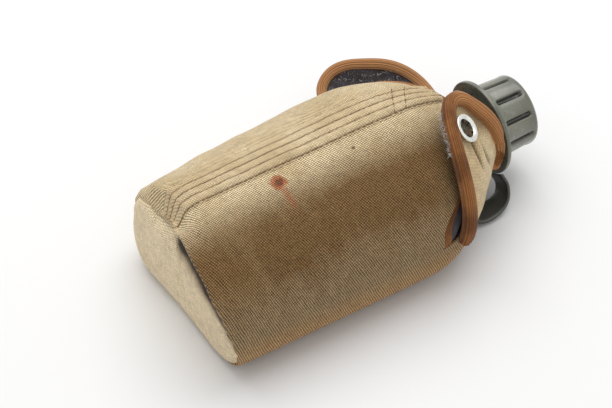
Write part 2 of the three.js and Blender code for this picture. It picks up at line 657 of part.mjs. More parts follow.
// Belt hanger: a web sewn in the hollow of the back, its end turned round the bar of a wire hook
const webHalfShare = 0.5 * WEB_WIDTH / frontLength;
const webFoot = -LAYER_GAP;
add('hanger_web', slab((u, v, side) => {
  const depth = side === 0 ? webFoot - WEB_THICK : webFoot;
  const share = lerp(0.5 - webHalfShare, 0.5 + webHalfShare, v);
  return layerPoint(lerp(WEB_START, WEB_END, u), backAngle(share), depth);
}, steps(0, 1, 4), steps(0, 1, 6)), 'canvas');
const hollowRoof = facePoint(HOOK_X, 1.5 * Math.PI).z;
const keeperOuter = WIRE_RADIUS + LAYER_GAP + KEEPER_WALL;
const barHeight = hollowRoof - LAYER_GAP - keeperOuter;
const keeperRings = [-KEEPER_WIDTH / 2, KEEPER_WIDTH / 2];
const keeperCorner = (y, r, a) => new THREE.Vector3(HOOK_X + r * Math.cos(a), y, barHeight + r * Math.sin(a));
const keeperAngles = steps(0, 2 * Math.PI, 20).slice(0, -1);
add('hook_keeper', ringStack([
  keeperAngles.map((a) => keeperCorner(keeperRings[0], keeperOuter, a)),
  keeperAngles.map((a) => keeperCorner(keeperRings[1], keeperOuter, a)),
  keeperAngles.map((a) => keeperCorner(keeperRings[1], keeperOuter - KEEPER_WALL, a)),
  keeperAngles.map((a) => keeperCorner(keeperRings[0], keeperOuter - KEEPER_WALL, a)),
], true), 'canvas');

// Wire hook: bar through the keeper, two arms toward the mouth, ends turned in
const hookEnd = HOOK_X + HOOK_LENGTH;
const HOOK_BEND = 4;
const turnArc = (cx, cy, from, to) => steps(from, to, 5).map((deg) => [
  cx + HOOK_BEND * Math.cos(radians(deg)),
  cy + HOOK_BEND * Math.sin(radians(deg)),
]);
const armY = HOOK_HALF_WIDTH - HOOK_BEND;
const hookHalf = [
  [hookEnd - HOOK_RETURN, armY - HOOK_BEND],
  ...turnArc(hookEnd - HOOK_BEND, armY, -90, 90),
  ...turnArc(HOOK_X + HOOK_BEND, armY, 90, 180),
];
const hookLine = [...hookHalf, ...hookHalf.map(([x, y]) => [x, -y]).reverse()];
const wireUp = new THREE.Vector3(0, 0, 1);
const wireRings = hookLine.map(([x, y], i) => {
  const before = hookLine[Math.max(0, i - 1)];
  const after = hookLine[Math.min(hookLine.length - 1, i + 1)];
  const side = new THREE.Vector3(after[1] - before[1], before[0] - after[0], 0).normalize();
  return steps(0, 2 * Math.PI, WIRE_SEGMENTS).slice(0, -1).map((a) => new THREE.Vector3(x, y, barHeight)
    .addScaledVector(side, WIRE_RADIUS * Math.cos(a))
    .addScaledVector(wireUp, WIRE_RADIUS * Math.sin(a)));
});
add('belt_hook', ringStack(wireRings, false), 'wire');

// Origin under the middle of the whole part
const box = new THREE.Box3().setFromObject(group);
const shift = new THREE.Vector3((box.min.x + box.max.x) / -2, (box.min.y + box.max.y) / -2, -box.min.z);
for (const mesh of group.children) {
  mesh.geometry.translate(shift.x, shift.y, shift.z);
}
export default group;
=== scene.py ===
import json
import math
import bpy
import numpy as np
from mathutils import Matrix, Vector, noise

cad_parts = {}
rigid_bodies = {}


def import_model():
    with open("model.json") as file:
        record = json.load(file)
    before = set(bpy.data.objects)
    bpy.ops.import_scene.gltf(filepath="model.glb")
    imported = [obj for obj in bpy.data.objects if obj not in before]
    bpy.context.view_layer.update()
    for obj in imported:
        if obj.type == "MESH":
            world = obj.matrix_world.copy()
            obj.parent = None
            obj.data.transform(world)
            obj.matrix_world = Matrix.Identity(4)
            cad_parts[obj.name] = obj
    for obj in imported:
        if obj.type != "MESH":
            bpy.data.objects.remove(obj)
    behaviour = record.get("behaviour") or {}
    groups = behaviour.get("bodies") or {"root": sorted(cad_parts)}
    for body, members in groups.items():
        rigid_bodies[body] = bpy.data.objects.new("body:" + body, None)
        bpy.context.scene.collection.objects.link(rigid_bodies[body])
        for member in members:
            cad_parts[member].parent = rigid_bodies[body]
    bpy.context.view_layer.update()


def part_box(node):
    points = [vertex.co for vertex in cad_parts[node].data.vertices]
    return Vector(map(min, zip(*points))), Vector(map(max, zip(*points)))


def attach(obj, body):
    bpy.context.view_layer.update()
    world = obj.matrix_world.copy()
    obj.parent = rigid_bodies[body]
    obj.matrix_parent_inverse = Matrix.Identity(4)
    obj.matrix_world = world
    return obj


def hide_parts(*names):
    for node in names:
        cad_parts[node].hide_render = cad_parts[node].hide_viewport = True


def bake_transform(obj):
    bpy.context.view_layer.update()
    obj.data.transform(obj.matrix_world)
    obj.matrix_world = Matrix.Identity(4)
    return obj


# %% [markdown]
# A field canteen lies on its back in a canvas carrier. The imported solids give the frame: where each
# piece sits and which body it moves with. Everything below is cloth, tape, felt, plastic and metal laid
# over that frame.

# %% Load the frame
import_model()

# %% [markdown]
# The carrier, its lining and the bottle are layers of one rounded body. Its section changes along the
# length: a drawn-in base, a straight body, and a shoulder that closes to the neck. One formula for the
# outer face serves every layer, so the pieces nest without fitting by hand. Sizes are in millimetres,
# measured from the base along the neck axis, and are moved into the frame's metres at the end.

# %% Sizes of the carrier
COVER_WIDTH = 121.0
COVER_DEPTH = 73.0
WIDEST_HEIGHT = 31.0
FRONT_POWER = 2.15
BACK_POWER = 3.2
BACK_HOLLOW = 11.8
HOLLOW_HALF_WIDTH = 38.0
FOOT_TRIM = 4.0
FOOT_ROUND = 3.0
HOLLOW_FADE = 50.0
BASE_X = -3.0
BASE_ROUND_LENGTH = 10.0
BASE_ROUND_POWER = 2.0
NEAR_LOSS_SHARE = 0.15
BASE_TAPER_LENGTH = 100.0
BASE_WIDTH_LOSS = 9.0
NEAR_WIDTH_SHARE = 0.2
BASE_TOP_LOSS = 2.0
BASE_BACK_LIFT = 5.0
BASE_LEAN = 9.0
LEAN_LENGTH = 60.0
SHOULDER_START = 112.0
NECK_SEAT = 172.0
SHOULDER_POWER = 2.3
SHOULDER_TOP_POWER = 3.4
AXIS_HEIGHT = 37.0
NECK_SEAT_RADIUS = 21.0
CAP_END = 209.0
CANVAS = 1.2
FELT = 1.8
GAP = 0.3
SLIT_X = SHOULDER_START + 14.0
MOUTH_RISE = NECK_SEAT - 12.0 - SLIT_X
SHOULDER_LENGTH = NECK_SEAT - SHOULDER_START
MOUTH_SAG = 16.0
FOLD_LINE_END, FOLD_LINE_SLOPE = 170.0, 165.0

cap_low, cap_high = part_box("cap")
SHIFT = np.array([
    cap_high[0] * 1000 - CAP_END,
    (cap_low[1] + cap_high[1]) * 500,
    (cap_low[2] + cap_high[2]) * 500 - AXIS_HEIGHT,
])
print("maker's frame sits at", SHIFT.round(2), "mm")


def to_frame(points):
    return (np.asarray(points, float) + SHIFT) / 1000


# %% [markdown]
# The outer face could be modelled by hand and smoothed, but then felt, bottle and tape would each have to be
# fitted to it. A formula of two numbers is better here: x along the neck, and an angle t round the section.
# The front is a plump arch, the back is flatter with a hollow for the hip, and both shrink to a ring at the
# neck. A layer is the same face moved inward along its normal.

# %% The carrier's outer face
TOP_LOSS_FROM, TOP_LOSS_SPAN = 0.25, 0.35
NORMAL_STEP, NORMAL_TURN = 0.4, 0.01


def unit(v):
    return np.clip(v, 0.0, 1.0)


def ease(v):
    return unit(v) ** 2 * (3 - 2 * unit(v))


def mix(a, b, s):
    return a + (b - a) * s


def soft_max(a, b, k):
    return np.maximum(a, b) + np.maximum(k - np.abs(a - b), 0) ** 2 / (4 * k)


def signed_power(v, p):
    return np.sign(v) * np.abs(v) ** p


def lean_at(x, z):
    return BASE_LEAN * (z - WIDEST_HEIGHT) / COVER_DEPTH * unit(1 - (x - BASE_X) / LEAN_LENGTH) ** 2


def carrier_face(x, t):
    x, t = np.broadcast_arrays(np.asarray(x, float), np.asarray(t, float))
    base = unit(1 - (x - BASE_X) / BASE_ROUND_LENGTH) ** BASE_ROUND_POWER
    top_share = ease((np.cos(t) + TOP_LOSS_FROM) / TOP_LOSS_SPAN)
    loss = BASE_TOP_LOSS * mix(NEAR_LOSS_SHARE, 1.0, top_share)
    taper = unit(1 - (x - BASE_X) / BASE_TAPER_LENGTH)
    neck = unit((x - SHOULDER_START) / (NECK_SEAT - SHOULDER_START))
    full = 1 - neck ** SHOULDER_POWER
    full_top = 1 - neck ** SHOULDER_TOP_POWER
    seat_low = AXIS_HEIGHT - NECK_SEAT_RADIUS
    seat_high = AXIS_HEIGHT + NECK_SEAT_RADIUS
    narrow = BASE_WIDTH_LOSS * np.where(np.cos(t) > 0, 1.0, NEAR_WIDTH_SHARE)
    half = mix(NECK_SEAT_RADIUS, COVER_WIDTH / 2 - narrow * taper, full)
    top = mix(seat_high, COVER_DEPTH - loss * base, full_top)
    bottom = mix(seat_low, BASE_BACK_LIFT * base - FOOT_TRIM, full)
    foot = mix(seat_low, BASE_BACK_LIFT * base, full)
    middle = mix(AXIS_HEIGHT, WIDEST_HEIGHT, full)
    front = np.sin(t) >= 0
    power = np.where(front, mix(2, FRONT_POWER, full), mix(2, BACK_POWER, full))
    y = half * signed_power(np.cos(t), 2 / power)
    rise = np.abs(np.sin(t)) ** (2 / power)
    reach = HOLLOW_HALF_WIDTH * half / (COVER_WIDTH / 2)
    dent = BACK_HOLLOW * full * ease((x - BASE_X) / HOLLOW_FADE) * np.maximum(0, 1 - (y / reach) ** 4)
    z_back = soft_max(middle - (middle - bottom) * rise + dent, foot, FOOT_ROUND)
    z = np.where(front, middle + (top - middle) * rise, z_back)
    return np.stack([x + lean_at(x, z), y, z], -1)


def carrier_normal(x, t):
    along = carrier_face(x + NORMAL_STEP, t) - carrier_face(x - NORMAL_STEP, t)
    around = carrier_face(x, t + NORMAL_TURN) - carrier_face(x, t - NORMAL_TURN)
    n = np.cross(around, along)
    return n / np.linalg.norm(n, axis=-1, keepdims=True)


def layer(x, t, depth):
    depth = np.asarray(depth, float)
    return carrier_face(x, t) - carrier_normal(x, t) * depth[..., None]


body_section = carrier_face(SHOULDER_START / 2, np.linspace(0, 2 * math.pi, 181))
print("section half way up the body:", np.ptp(body_section, axis=0)[1:].round(1), "mm")

# %% [markdown]
# Cloth is measured along its own surface, and an angle is a poor ruler for that: equal angles bunch up at the
# corners. So the section is walked in small steps, the distances are added up, and a table turns w, the share
# of the way round, into an angle. The carrier's mouth and the lining's end are written in the same w.

# %% Even steps round the section
SECTION_STEPS = 1601
ARCH_POWER = 0.8
SAG_AT, SAG_SPREAD = 0.92, 0.09


def even_angles(start, stop):
    s = np.linspace(0, 1, SECTION_STEPS)
    angles = mix(start, stop, (1 - np.cos(np.pi * s)) / 2)
    run = carrier_face((BASE_ROUND_LENGTH + SHOULDER_START) / 2, angles)
    far = np.concatenate([[0], np.cumsum(np.linalg.norm(np.diff(run, axis=0), axis=1))])
    return far / far[-1], angles, far[-1]


FRONT_TABLE = even_angles(0, math.pi)
BACK_TABLE = even_angles(math.pi, 2 * math.pi)


def round_angle(w):
    """Angle at w: 0 far side, 0.5 front, 1 near side, 1.5 back, 2 far side again."""
    w = np.asarray(w, float)
    front = np.interp(unit(w), FRONT_TABLE[0], FRONT_TABLE[1])
    back = np.interp(unit(w - 1), BACK_TABLE[0], BACK_TABLE[1])
    return np.where(w <= 1, front, back)


def lining_end(w):
    """End of the lining at w; the back rises to the fold line of each flap at the two sides."""
    w = np.asarray(w, float)
    arch = SLIT_X + MOUTH_RISE * np.sin(np.pi * unit(np.where(w <= 1, w, w - 1))) ** ARCH_POWER
    fold = FOLD_LINE_END - FOLD_LINE_SLOPE * np.minimum(np.abs(w - 1), np.abs(w - 2))
    return np.where(w > 1, np.maximum(arch, fold), arch)


def mouth_x(w):
    """Edge of the canvas at the mouth; the front sags back at the near side."""
    w = np.asarray(w, float)
    sag = np.where(w <= 1, MOUTH_SAG, 0) * np.exp(-((w - SAG_AT) / SAG_SPREAD) ** 2)
    return lining_end(w) - sag


def front_w_at(y):
    """Where on the front a line at side distance y runs, as w."""
    ws = np.linspace(0, 1, SECTION_STEPS // 2 + 1)
    ys = carrier_face(SHOULDER_START - 1, round_angle(ws))[:, 1]
    return float(np.interp(-y, -ys, ws))


print("front is", round(float(FRONT_TABLE[2]), 1), "mm round, back", round(float(BACK_TABLE[2]), 1), "mm")

# %% [markdown]
# Meshes are made from grids of points: a slab for a sheet with two faces, and a sweep for tape, strap and
# wire. Both write a UV map in units of 100 mm, so that weave and ribs can follow the piece. Faces are
# turned outward by the sign of the enclosed volume, which works for any closed shape.

# %% Mesh helpers
UV_UNIT = 100.0
SHARP_DEGREES = 50


def add_object(name, data):
    obj = bpy.data.objects.new(name, data)
    bpy.context.scene.collection.objects.link(obj)
    return obj


def make_piece(name, points, faces, material, uv=None):
    """Smooth mesh object from millimetres, with its faces turned outward."""
    points = to_frame(np.reshape(points, (-1, 3)))
    faces = [tuple(int(i) for i in f) for f in faces]
    corners = [f[:3] for f in faces] + [(f[0], f[2], f[3]) for f in faces if len(f) == 4]
    a, b, c = points[np.array(corners)].swapaxes(0, 1)
    middle = points.mean(0)
    if np.einsum("ij,ij->i", a - middle, np.cross(b - middle, c - middle)).sum() < 0:
        faces = [f[::-1] for f in faces]
    mesh = bpy.data.meshes.new(name)
    mesh.from_pydata([tuple(p) for p in points], [], faces)
    if uv is not None:
        sheet = mesh.uv_layers.new(name="Cloth")
        index = np.empty(len(mesh.loops), np.int32)
        mesh.loops.foreach_get("vertex_index", index)
        flat = np.reshape(uv, (-1, 2))[index] / UV_UNIT
        sheet.data.foreach_set("uv", flat.astype(np.float32).ravel())
    mesh.polygons.foreach_set("use_smooth", np.ones(len(mesh.polygons), bool))
    mesh.set_sharp_from_angle(angle=math.radians(SHARP_DEGREES))
    mesh.materials.append(material)
    print(name, len(faces), "faces")
    return add_object(name, mesh)


def declare(piece, body, slot, *nodes):
    """Hide the solids a piece shows and attach the piece to the body that carries it; slot, what it is made
    of, is not used.
    """
    if nodes:
        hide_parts(*nodes)
    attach(piece, body)


def quads(ids):
    a, b = ids[:-1, :-1], ids[1:, :-1]
    c, d = ids[1:, 1:], ids[:-1, 1:]
    return np.stack([a, b, c, d], -1).reshape(-1, 4)


def slab(name, outer, inner, material, uv):
    """Closed sheet between two equal grids of points."""
    rows, cols = outer.shape[:2]
    top = np.arange(rows * cols).reshape(rows, cols)
    low = top + rows * cols
    walls = [
        quads(np.stack([top[:, 0], low[:, 0]])), quads(np.stack([low[:, -1], top[:, -1]])),
        quads(np.stack([low[0], top[0]])), quads(np.stack([top[-1], low[-1]])),
    ]
    faces = np.concatenate([quads(top), quads(low[:, ::-1])] + walls)
    return make_piece(name, np.stack([outer, inner]), faces, material, np.stack([uv, uv]))


def tube(name, rings, material, uv=None, looped=False):
    """Skin over a row of equal closed rings, with fans over the ends unless looped."""
    rings = np.asarray(rings, float)
    count, around = rings.shape[:2]
    ids = np.arange(count * around).reshape(count, around)
    ids = np.concatenate([ids, ids[:, :1]], 1)
    if looped:
        ids = np.concatenate([ids, ids[:1]], 0)
    faces = [tuple(q) for q in quads(ids)]
    points = list(rings.reshape(-1, 3))
    flat = None if uv is None else list(np.reshape(uv, (-1, 2)))
    if not looped:
        for end, turn in ((0, 1), (count - 1, -1)):
            hub = len(points)
            points.append(rings[end].mean(0))
            if flat is not None:
                flat.append(np.reshape(uv, (count, around, 2))[end].mean(0))
            ring = ids[end][::turn]
            faces += [(hub, ring[j + 1], ring[j]) for j in range(around)]
    return make_piece(name, np.array(points), faces, material, None if flat is None else np.array(flat))


def ripple(a, b, size, seed):
    """Smooth noise over two arrays of millimetres."""
    a, b = np.broadcast_arrays(np.asarray(a, float), np.asarray(b, float))
    flat = [noise.noise((u / size, v / size, seed)) for u, v in zip(a.ravel(), b.ravel())]
    return np.array(flat).reshape(a.shape)


# %% [markdown]
# Materials are small node trees. They could be wired node by node, but as expressions they stay readable. So
# a Signal wraps one socket, and its operators add Math nodes.

# %% Signals
class Signal:
    """One output socket, usable in Python arithmetic."""

    def __init__(self, finish, socket):
        self.finish, self.socket = finish, socket

    def math(self, operation, *values):
        return self.finish.node("ShaderNodeMath", {"operation": operation}, dict(enumerate(values)))

    def __add__(self, other):
        return self.math("ADD", self, other)

    def __sub__(self, other):
        return self.math("SUBTRACT", self, other)

    def __rsub__(self, other):
        return self.math("SUBTRACT", other, self)

    def __mul__(self, other):
        return self.math("MULTIPLY", self, other)

    def __truediv__(self, other):
        return self.math("DIVIDE", self, other)

    __radd__ = __add__
    __rmul__ = __mul__

    def power(self, e):
        return self.math("POWER", self, e)

    def sine(self):
        return self.math("SINE", self)

    def size(self):
        return self.math("ABSOLUTE", self)

    def top(self, other):
        return self.math("MAXIMUM", self, other)

    def least(self, other):
        return self.math("MINIMUM", self, other)

    def zigzag(self, half):
        """Distance to the nearest of lines that stand twice half apart."""
        return self.math("PINGPONG", self, half)

    def between(self, low, high):
        """0 below low, 1 above high, smooth between; works for low above high too."""
        return self.finish.node("ShaderNodeMapRange", {"interpolation_type": "SMOOTHSTEP"},
                                {"Value": self, "From Min": low, "From Max": high})


# %% [markdown]
# A Finish owns one material. It makes any node with a single method, settings first and then the values or
# links of the sockets, and hands back a Signal. Colours are written as they look on screen and made linear.

# %% Finishes
class Finish:
    """One material whose nodes are added by expressions."""

    def __init__(self, name, **constants):
        self.material = bpy.data.materials.new(name)
        self.material.use_nodes = True
        self.tree = self.material.node_tree
        self.shader = self.tree.nodes["Principled BSDF"]
        for socket, value in constants.items():
            self.shader.inputs[socket.replace("_", " ")].default_value = value

    def node(self, kind, settings=None, inputs=None, output=0):
        made = self.tree.nodes.new(kind)
        for key, value in (settings or {}).items():
            if key == "stops":
                ramp = made.color_ramp.elements
                while len(ramp) < len(value):
                    ramp.new(0.5)
                for stop, (place, colour) in zip(ramp, value):
                    stop.position, stop.color = place, (*colour, 1)
            else:
                setattr(made, key, value)
        for key, value in (inputs or {}).items():
            socket = made.inputs[key]
            if isinstance(value, Signal):
                self.tree.links.new(value.socket, socket)
            else:
                socket.default_value = (*value, 1) if np.size(value) == 3 and socket.type == "RGBA" else value
        return Signal(self, made.outputs[output])

    def noise(self, where, scale, detail=3.0, rough=0.55):
        return self.node("ShaderNodeTexNoise", {}, {"Vector": where, "Scale": scale, "Detail": detail,
                                                    "Roughness": rough})

    def blend(self, amount, a, b, how="MIX"):
        settings = {"data_type": "RGBA", "blend_type": how}
        return self.node("ShaderNodeMix", settings, {"Factor": amount, 6: a, 7: b}, 2)

    def object_place(self):
        return self.node("ShaderNodeTexCoord", output=3)

    def axes(self, where):
        split = self.node("ShaderNodeSeparateXYZ", inputs={"Vector": where})
        return [Signal(self, out) for out in split.socket.node.outputs]

    def cloth_place(self):
        """The piece's own UV map, in millimetres."""
        uv = self.node("ShaderNodeUVMap", {"uv_map": "Cloth"})
        return self.axes(self.node("ShaderNodeVectorMath", {"operation": "SCALE"},
                                   {"Vector": uv, "Scale": UV_UNIT}))[:2]

    def set(self, **sockets):
        for name, value in sockets.items():
            self.tree.links.new(value.socket, self.shader.inputs[name.replace("_", " ")])
        return self.material

    def bump(self, height, distance, strength):
        return self.node("ShaderNodeBump", inputs={"Height": height, "Distance": distance,
                                                   "Strength": strength})


def tone(*channels):
    """A colour as seen on screen, 0 to 255, made linear."""
    shares = [c / 255 for c in channels]
    return tuple(c / 12.92 if c <= 0.04045 else ((c + 0.055) / 1.055) ** 2.4 for c in shares)


# %% [markdown]
# The carrier is worn khaki cotton twill. Its diagonal ribs are little more than a millimetre apart. A picture
# of cloth could be laid over it, but two sine waves on the cloth's own UV map are sharper and follow each
# panel: one for the twill line and one for the threads across it. Noise makes the threads wander.

# %% Twill weave
TWILL_PITCH = 1.22
TWILL_COS, TWILL_SIN = 0.918, -0.398
PICK_PITCH = TWILL_PITCH * 0.92


def place_mm(finish):
    """Object coordinates in the maker's millimetres, as three signals."""
    moved = finish.node("ShaderNodeVectorMath", {"operation": "MULTIPLY_ADD"},
                        {0: finish.object_place(), 1: (1000, 1000, 1000), 2: tuple(-SHIFT)})
    return finish.axes(moved)


def woven(finish, where, u, v):
    """Height of the weave, about 0 to 1, over two cloth coordinates."""
    wander = (finish.noise(where, 160.0, 2.0) - 0.5) * 1.1 + (finish.noise(where, 700.0, 2.0) - 0.5) * 0.7
    line = ((u * TWILL_COS + v * TWILL_SIN + wander) * (2 * math.pi / TWILL_PITCH)).sine()
    across = ((u * TWILL_SIN - v * TWILL_COS + wander) * (2 * math.pi / PICK_PITCH)).sine()
    return line * 0.26 + across * 0.17 + across * line * 0.14 + 0.5


print("twill lines", TWILL_PITCH, "mm apart")

# %% [markdown]
# Dirt belongs to places on the canteen, so most of it reads Object coordinates: a near side darkened by soil
# and painted shade, a rusty lower edge, and on the front one ringed stain with a run below it and one dark
# speck.
# The flap's creases get painted shade along their lines, which are the same lines that bend its mesh further
# down. Painted shade also darkens the base in the pocket behind the hem: the base panel's UV map holds how
# deep in that pocket each point lies.

# %% Wear and painted shade on the canvas
STAIN_PLACE, SPECK_PLACE, RUN_X = (51.0, -7.0), (96.6, -6.4), 50.5
RUST, STAIN_RING, STAIN_CORE = tone(170, 126, 72), tone(150, 74, 36), tone(84, 44, 28)
STAIN_RUN, SPECK_BROWN = tone(150, 84, 52), tone(60, 40, 30)
# Painted shade for a flap's neck side and creases, and a darker tone for the strip's stitch rows.
FLAP_NECK_SHADE, FLAP_CREASE_SHADE, ROW_LINE_DARK = tone(116, 90, 56), tone(84, 60, 36), tone(104, 76, 48)
# Painted shade for the pocket behind the hem, a lighter and a deeper tone.
POCKET_SHADE, POCKET_DEEP_SHADE = tone(98, 72, 42), tone(34, 24, 14)
FLAP_U, FLAP_V = 24, 50
CREASE_SHIFT, CREASE_BOW, CREASE_BOW_AT, CREASE_STEP = 0.05, 1.1, 0.72, 0.3


def away_from(x, y, spot):
    return ((x - spot[0]) * (x - spot[0]) + (y - spot[1]) * (y - spot[1])).power(0.5)


def flap_painted_shade(finish, colour, u, v):
    """Painted shade on the neck side towards the tip and along two creases, on a flap's own UV map."""
    bow = CREASE_BOW_AT - v / FLAP_V
    line = u / FLAP_U + CREASE_SHIFT - CREASE_BOW * (bow * bow)
    first = line.size().between(0.07, 0.0) * v.between(14.0, 20.0) * v.between(39.0, 35.0)
    second = (line - CREASE_STEP).size().between(0.08, 0.0) * v.between(8.0, 14.0) * v.between(28.0, 22.0)
    # Painted shade on the neck side towards the tip.
    neck_shade = u.between(-1.0, 6.0) * v.between(24.0, 33.0)
    colour = finish.blend(neck_shade * 0.7, colour, FLAP_NECK_SHADE)
    # Painted shade along the two creases.
    return finish.blend(first.top(second * 0.7) * 0.85, colour, FLAP_CREASE_SHADE)


def near_soil_and_shade(finish, colour, where, slow, mottle, dark, amount):
    """Soil with painted shade on the near side, rust along the lower edge and the front's stain, run and
    speck.
    """
    x, y, z = place_mm(finish)
    stretched = finish.node("ShaderNodeVectorMath", {"operation": "MULTIPLY"},
                            {0: where, 1: (110.0, 28.0, 28.0)})
    streak = finish.noise(stretched, 1.0, 4.0, 0.6)
    edge_relief = 1 - y.between(-40.0, -60.0) * 0.25
    # Soil and painted shade darken the near side.
    soiled_and_shaded = y.between(3.0, -30.0) * edge_relief * (0.62 + slow * 0.5 + streak * 0.3)
    colour = finish.blend(soiled_and_shaded.least(1.0) * amount, colour, dark)
    low = z.between(34.0, 12.0) * y.between(-36.0, -54.0)
    colour = finish.blend(low * 0.55, colour, RUST)
    front = z.between(34.0, 44.0)
    ring = away_from(x, y, STAIN_PLACE) + (mottle - 0.5) * 9.0
    colour = finish.blend(ring.between(5.6, 3.6) * front * 0.8, colour, STAIN_RING)
    colour = finish.blend(ring.between(2.8, 1.4) * front * 0.75, colour, STAIN_CORE)
    run = ((x - RUN_X).size() + (mottle - 0.5) * 5.0).between(2.8, 0.6)
    run = run * y.between(-27.0, -20.0) * y.between(-8.0, -11.0)
    colour = finish.blend(run * front * 0.5, colour, STAIN_RUN)
    speck = away_from(x, y, SPECK_PLACE).between(1.3, 0.6)
    return finish.blend(speck * front * 0.8, colour, SPECK_BROWN)


def pocket_shade(finish, colour, deep, way, mottle):
    """Painted shade behind the hem: deep is the depth in the pocket, way runs round the base."""
    ragged = deep + (mottle - 0.5) * 2.0
    along = way.between(22.0, 25.5) * way.between(54.0, 44.0)
    # Painted shade, darkening with depth into the pocket behind the hem.
    colour = finish.blend(ragged.between(26.0, 15.0) * along * 0.6, colour, POCKET_SHADE)
    return finish.blend(ragged.between(19.0, 14.5) * along * 0.95, colour, POCKET_DEEP_SHADE)


print("stain at", STAIN_PLACE, "mm, speck at", SPECK_PLACE, "mm")

# %% [markdown]
# One function makes every canvas finish, so that all panels are cut from the same bolt. It mixes a pale and a
# middle shade by slow noise, adds the wear and painted shade that the panel asks for, and lets the weave
# darken the colour as well as bump the surface. On the base, where the UV map holds the pocket, the weave
# reads Object coordinates instead.

# %% Khaki finishes
def twill(name, pale, mid, contrast, soil_and_shade=None, rows=None, creased=False, seam=False):
    finish = Finish(name, Roughness=0.92, Sheen_Weight=0.12, Sheen_Roughness=0.5, Specular_IOR_Level=0.15)
    where = finish.object_place()
    u, v = finish.cloth_place()
    slow = finish.noise(where, 28.0, 4.0)
    patch = finish.noise(where, 75.0, 5.0, 0.65)
    grain = finish.noise(where, 900.0, 2.0, 0.7)
    mottle = finish.noise(where, 260.0, 5.0, 0.75)
    weave = woven(finish, where, *(place_mm(finish)[1:] if seam else (u, v)))
    colour = finish.blend(slow.between(0.35, 0.68), mid, pale)
    colour = finish.blend(patch.between(0.42, 0.75) * 0.5, colour, mid)
    if creased:
        colour = flap_painted_shade(finish, colour, u, v)
    if rows:
        first, step = rows
        # Darker along each stitch row of the strip.
        colour = finish.blend((v - first).zigzag(step / 2).between(0.8, 0.2) * 0.6, colour, ROW_LINE_DARK)
    if soil_and_shade:
        colour = near_soil_and_shade(finish, colour, where, slow, mottle, *soil_and_shade)
    thread = (weave - 0.5) * contrast + (grain - 0.5) * 0.5 + (mottle - 0.5) * 0.9 + 1.0
    grey = finish.node("ShaderNodeCombineColor", {}, {0: thread, 1: thread, 2: thread})
    colour = finish.blend(1.0, colour, grey, "MULTIPLY")
    colour = finish.blend(grain.between(0.35, 0.75) * 0.07, colour, pale)
    if seam:
        colour = pocket_shade(finish, colour, u, v, mottle)
    return finish.set(Base_Color=colour, Normal=finish.bump(weave * 0.7 + grain * 0.5, 0.00022, 0.75))


# The dark tone given here is soil and painted shade on the near side.
KHAKI = twill("khaki_twill", tone(202, 184, 150), tone(184, 163, 126), 2.4, soil_and_shade=(tone(100, 71, 35), 0.97))
KHAKI_BASE = twill("pale_twill", tone(226, 208, 174), tone(212, 193, 160), 1.2, seam=True)
KHAKI_FLAP = twill("flap_twill", tone(206, 187, 150), tone(192, 168, 128), 0.55, creased=True)
print("canvas finishes:", [m.name for m in bpy.data.materials if m.name.endswith("twill")])

# %% [markdown]
# The edges are bound with brown ribbed tape. The ribs run along the tape, so they are a wave across its UV
# width, and a finer wave along it gives the picks of the weave. The tape carries painted light: it is paler
# on the far side, and on the flap beside the neck. The lining is charcoal wool felt: no weave, only matted
# fibre with pale fluff. Thread is a plain brown twist, mixed from two shades.

# %% Tape, felt and thread
RIB_PITCH, PICK_STEP = 1.15, 0.55
TAPE_DARK, TAPE_LIGHT, TAPE_GROOVE = tone(112, 67, 32), tone(162, 106, 58), tone(62, 36, 20)
# The first two tones are painted light: paler tape on the far side and beside the neck.
TAPE_LIT_FAR, TAPE_LIT_NECK, TAPE_FUZZ = tone(200, 146, 98), tone(206, 146, 92), tone(190, 140, 90)


def wave(place, pitch):
    return (place * (2 * math.pi / pitch)).sine() * 0.5 + 0.5


def ribbed_tape():
    finish = Finish("brown_tape", Roughness=0.85, Sheen_Weight=0.06, Sheen_Roughness=0.4,
                    Specular_IOR_Level=0.25)
    where = finish.object_place()
    x, y = place_mm(finish)[:2]
    u, v = finish.cloth_place()
    slow = finish.noise(where, 60.0, 4.0)
    fine = finish.noise(where, 1400.0, 2.0, 0.7)
    rib, pick = wave(v, RIB_PITCH), wave(u, PICK_STEP)
    neck_side = x.between(150.0, 160.0) * y.between(5.0, -5.0)
    colour = finish.blend(slow.between(0.3, 0.7), TAPE_DARK, TAPE_LIGHT)
    # Painted light: paler tape on the far side.
    colour = finish.blend(y.between(10.0, 45.0) * 0.75, colour, TAPE_LIT_FAR)
    # Painted light: paler tape beside the neck on the near flap.
    colour = finish.blend(neck_side * 0.6, colour, TAPE_LIT_NECK)
    colour = finish.blend(rib.between(0.0, 0.7) * -0.55 + 0.55, colour, TAPE_GROOVE)
    colour = finish.blend(fine.between(0.5, 0.8) * 0.25, colour, TAPE_FUZZ)
    height = rib * 0.8 + pick * 0.15 + fine * 0.25
    return finish.set(Base_Color=colour, Normal=finish.bump(height, 0.00035, 0.9))


def wool_felt():
    finish = Finish("charcoal_felt", Roughness=1.0, Sheen_Weight=0.3, Sheen_Roughness=0.6,
                    Specular_IOR_Level=0.1)
    where = finish.object_place()
    clump = finish.noise(where, 220.0, 5.0, 0.7)
    fibre = finish.noise(where, 1500.0, 3.0, 0.75)
    colour = finish.blend(clump.between(0.35, 0.7), tone(34, 28, 30), tone(62, 54, 57))
    colour = finish.blend(fibre.between(0.56, 0.74) * 0.7, colour, tone(150, 144, 146))
    return finish.set(Base_Color=colour, Normal=finish.bump(clump * 0.6 + fibre * 0.6, 0.0007, 0.9))


def flecked(name, dark, light):
    """Dull finish of two shades, for thread, loose fibre and rubber."""
    finish = Finish(name, Roughness=0.75)
    fleck = finish.noise(finish.object_place(), 500.0, 2.0)
    return finish.set(Base_Color=finish.blend(fleck.between(0.3, 0.7), dark, light))


TAPE = ribbed_tape()
WOOL = wool_felt()
THREAD = flecked("brown_thread", tone(74, 52, 32), tone(112, 84, 56))
FLUFF = flecked("felt_fluff", tone(150, 146, 146), tone(214, 211, 208))
print("soft finishes:", TAPE.name, WOOL.name, THREAD.name, FLUFF.name)
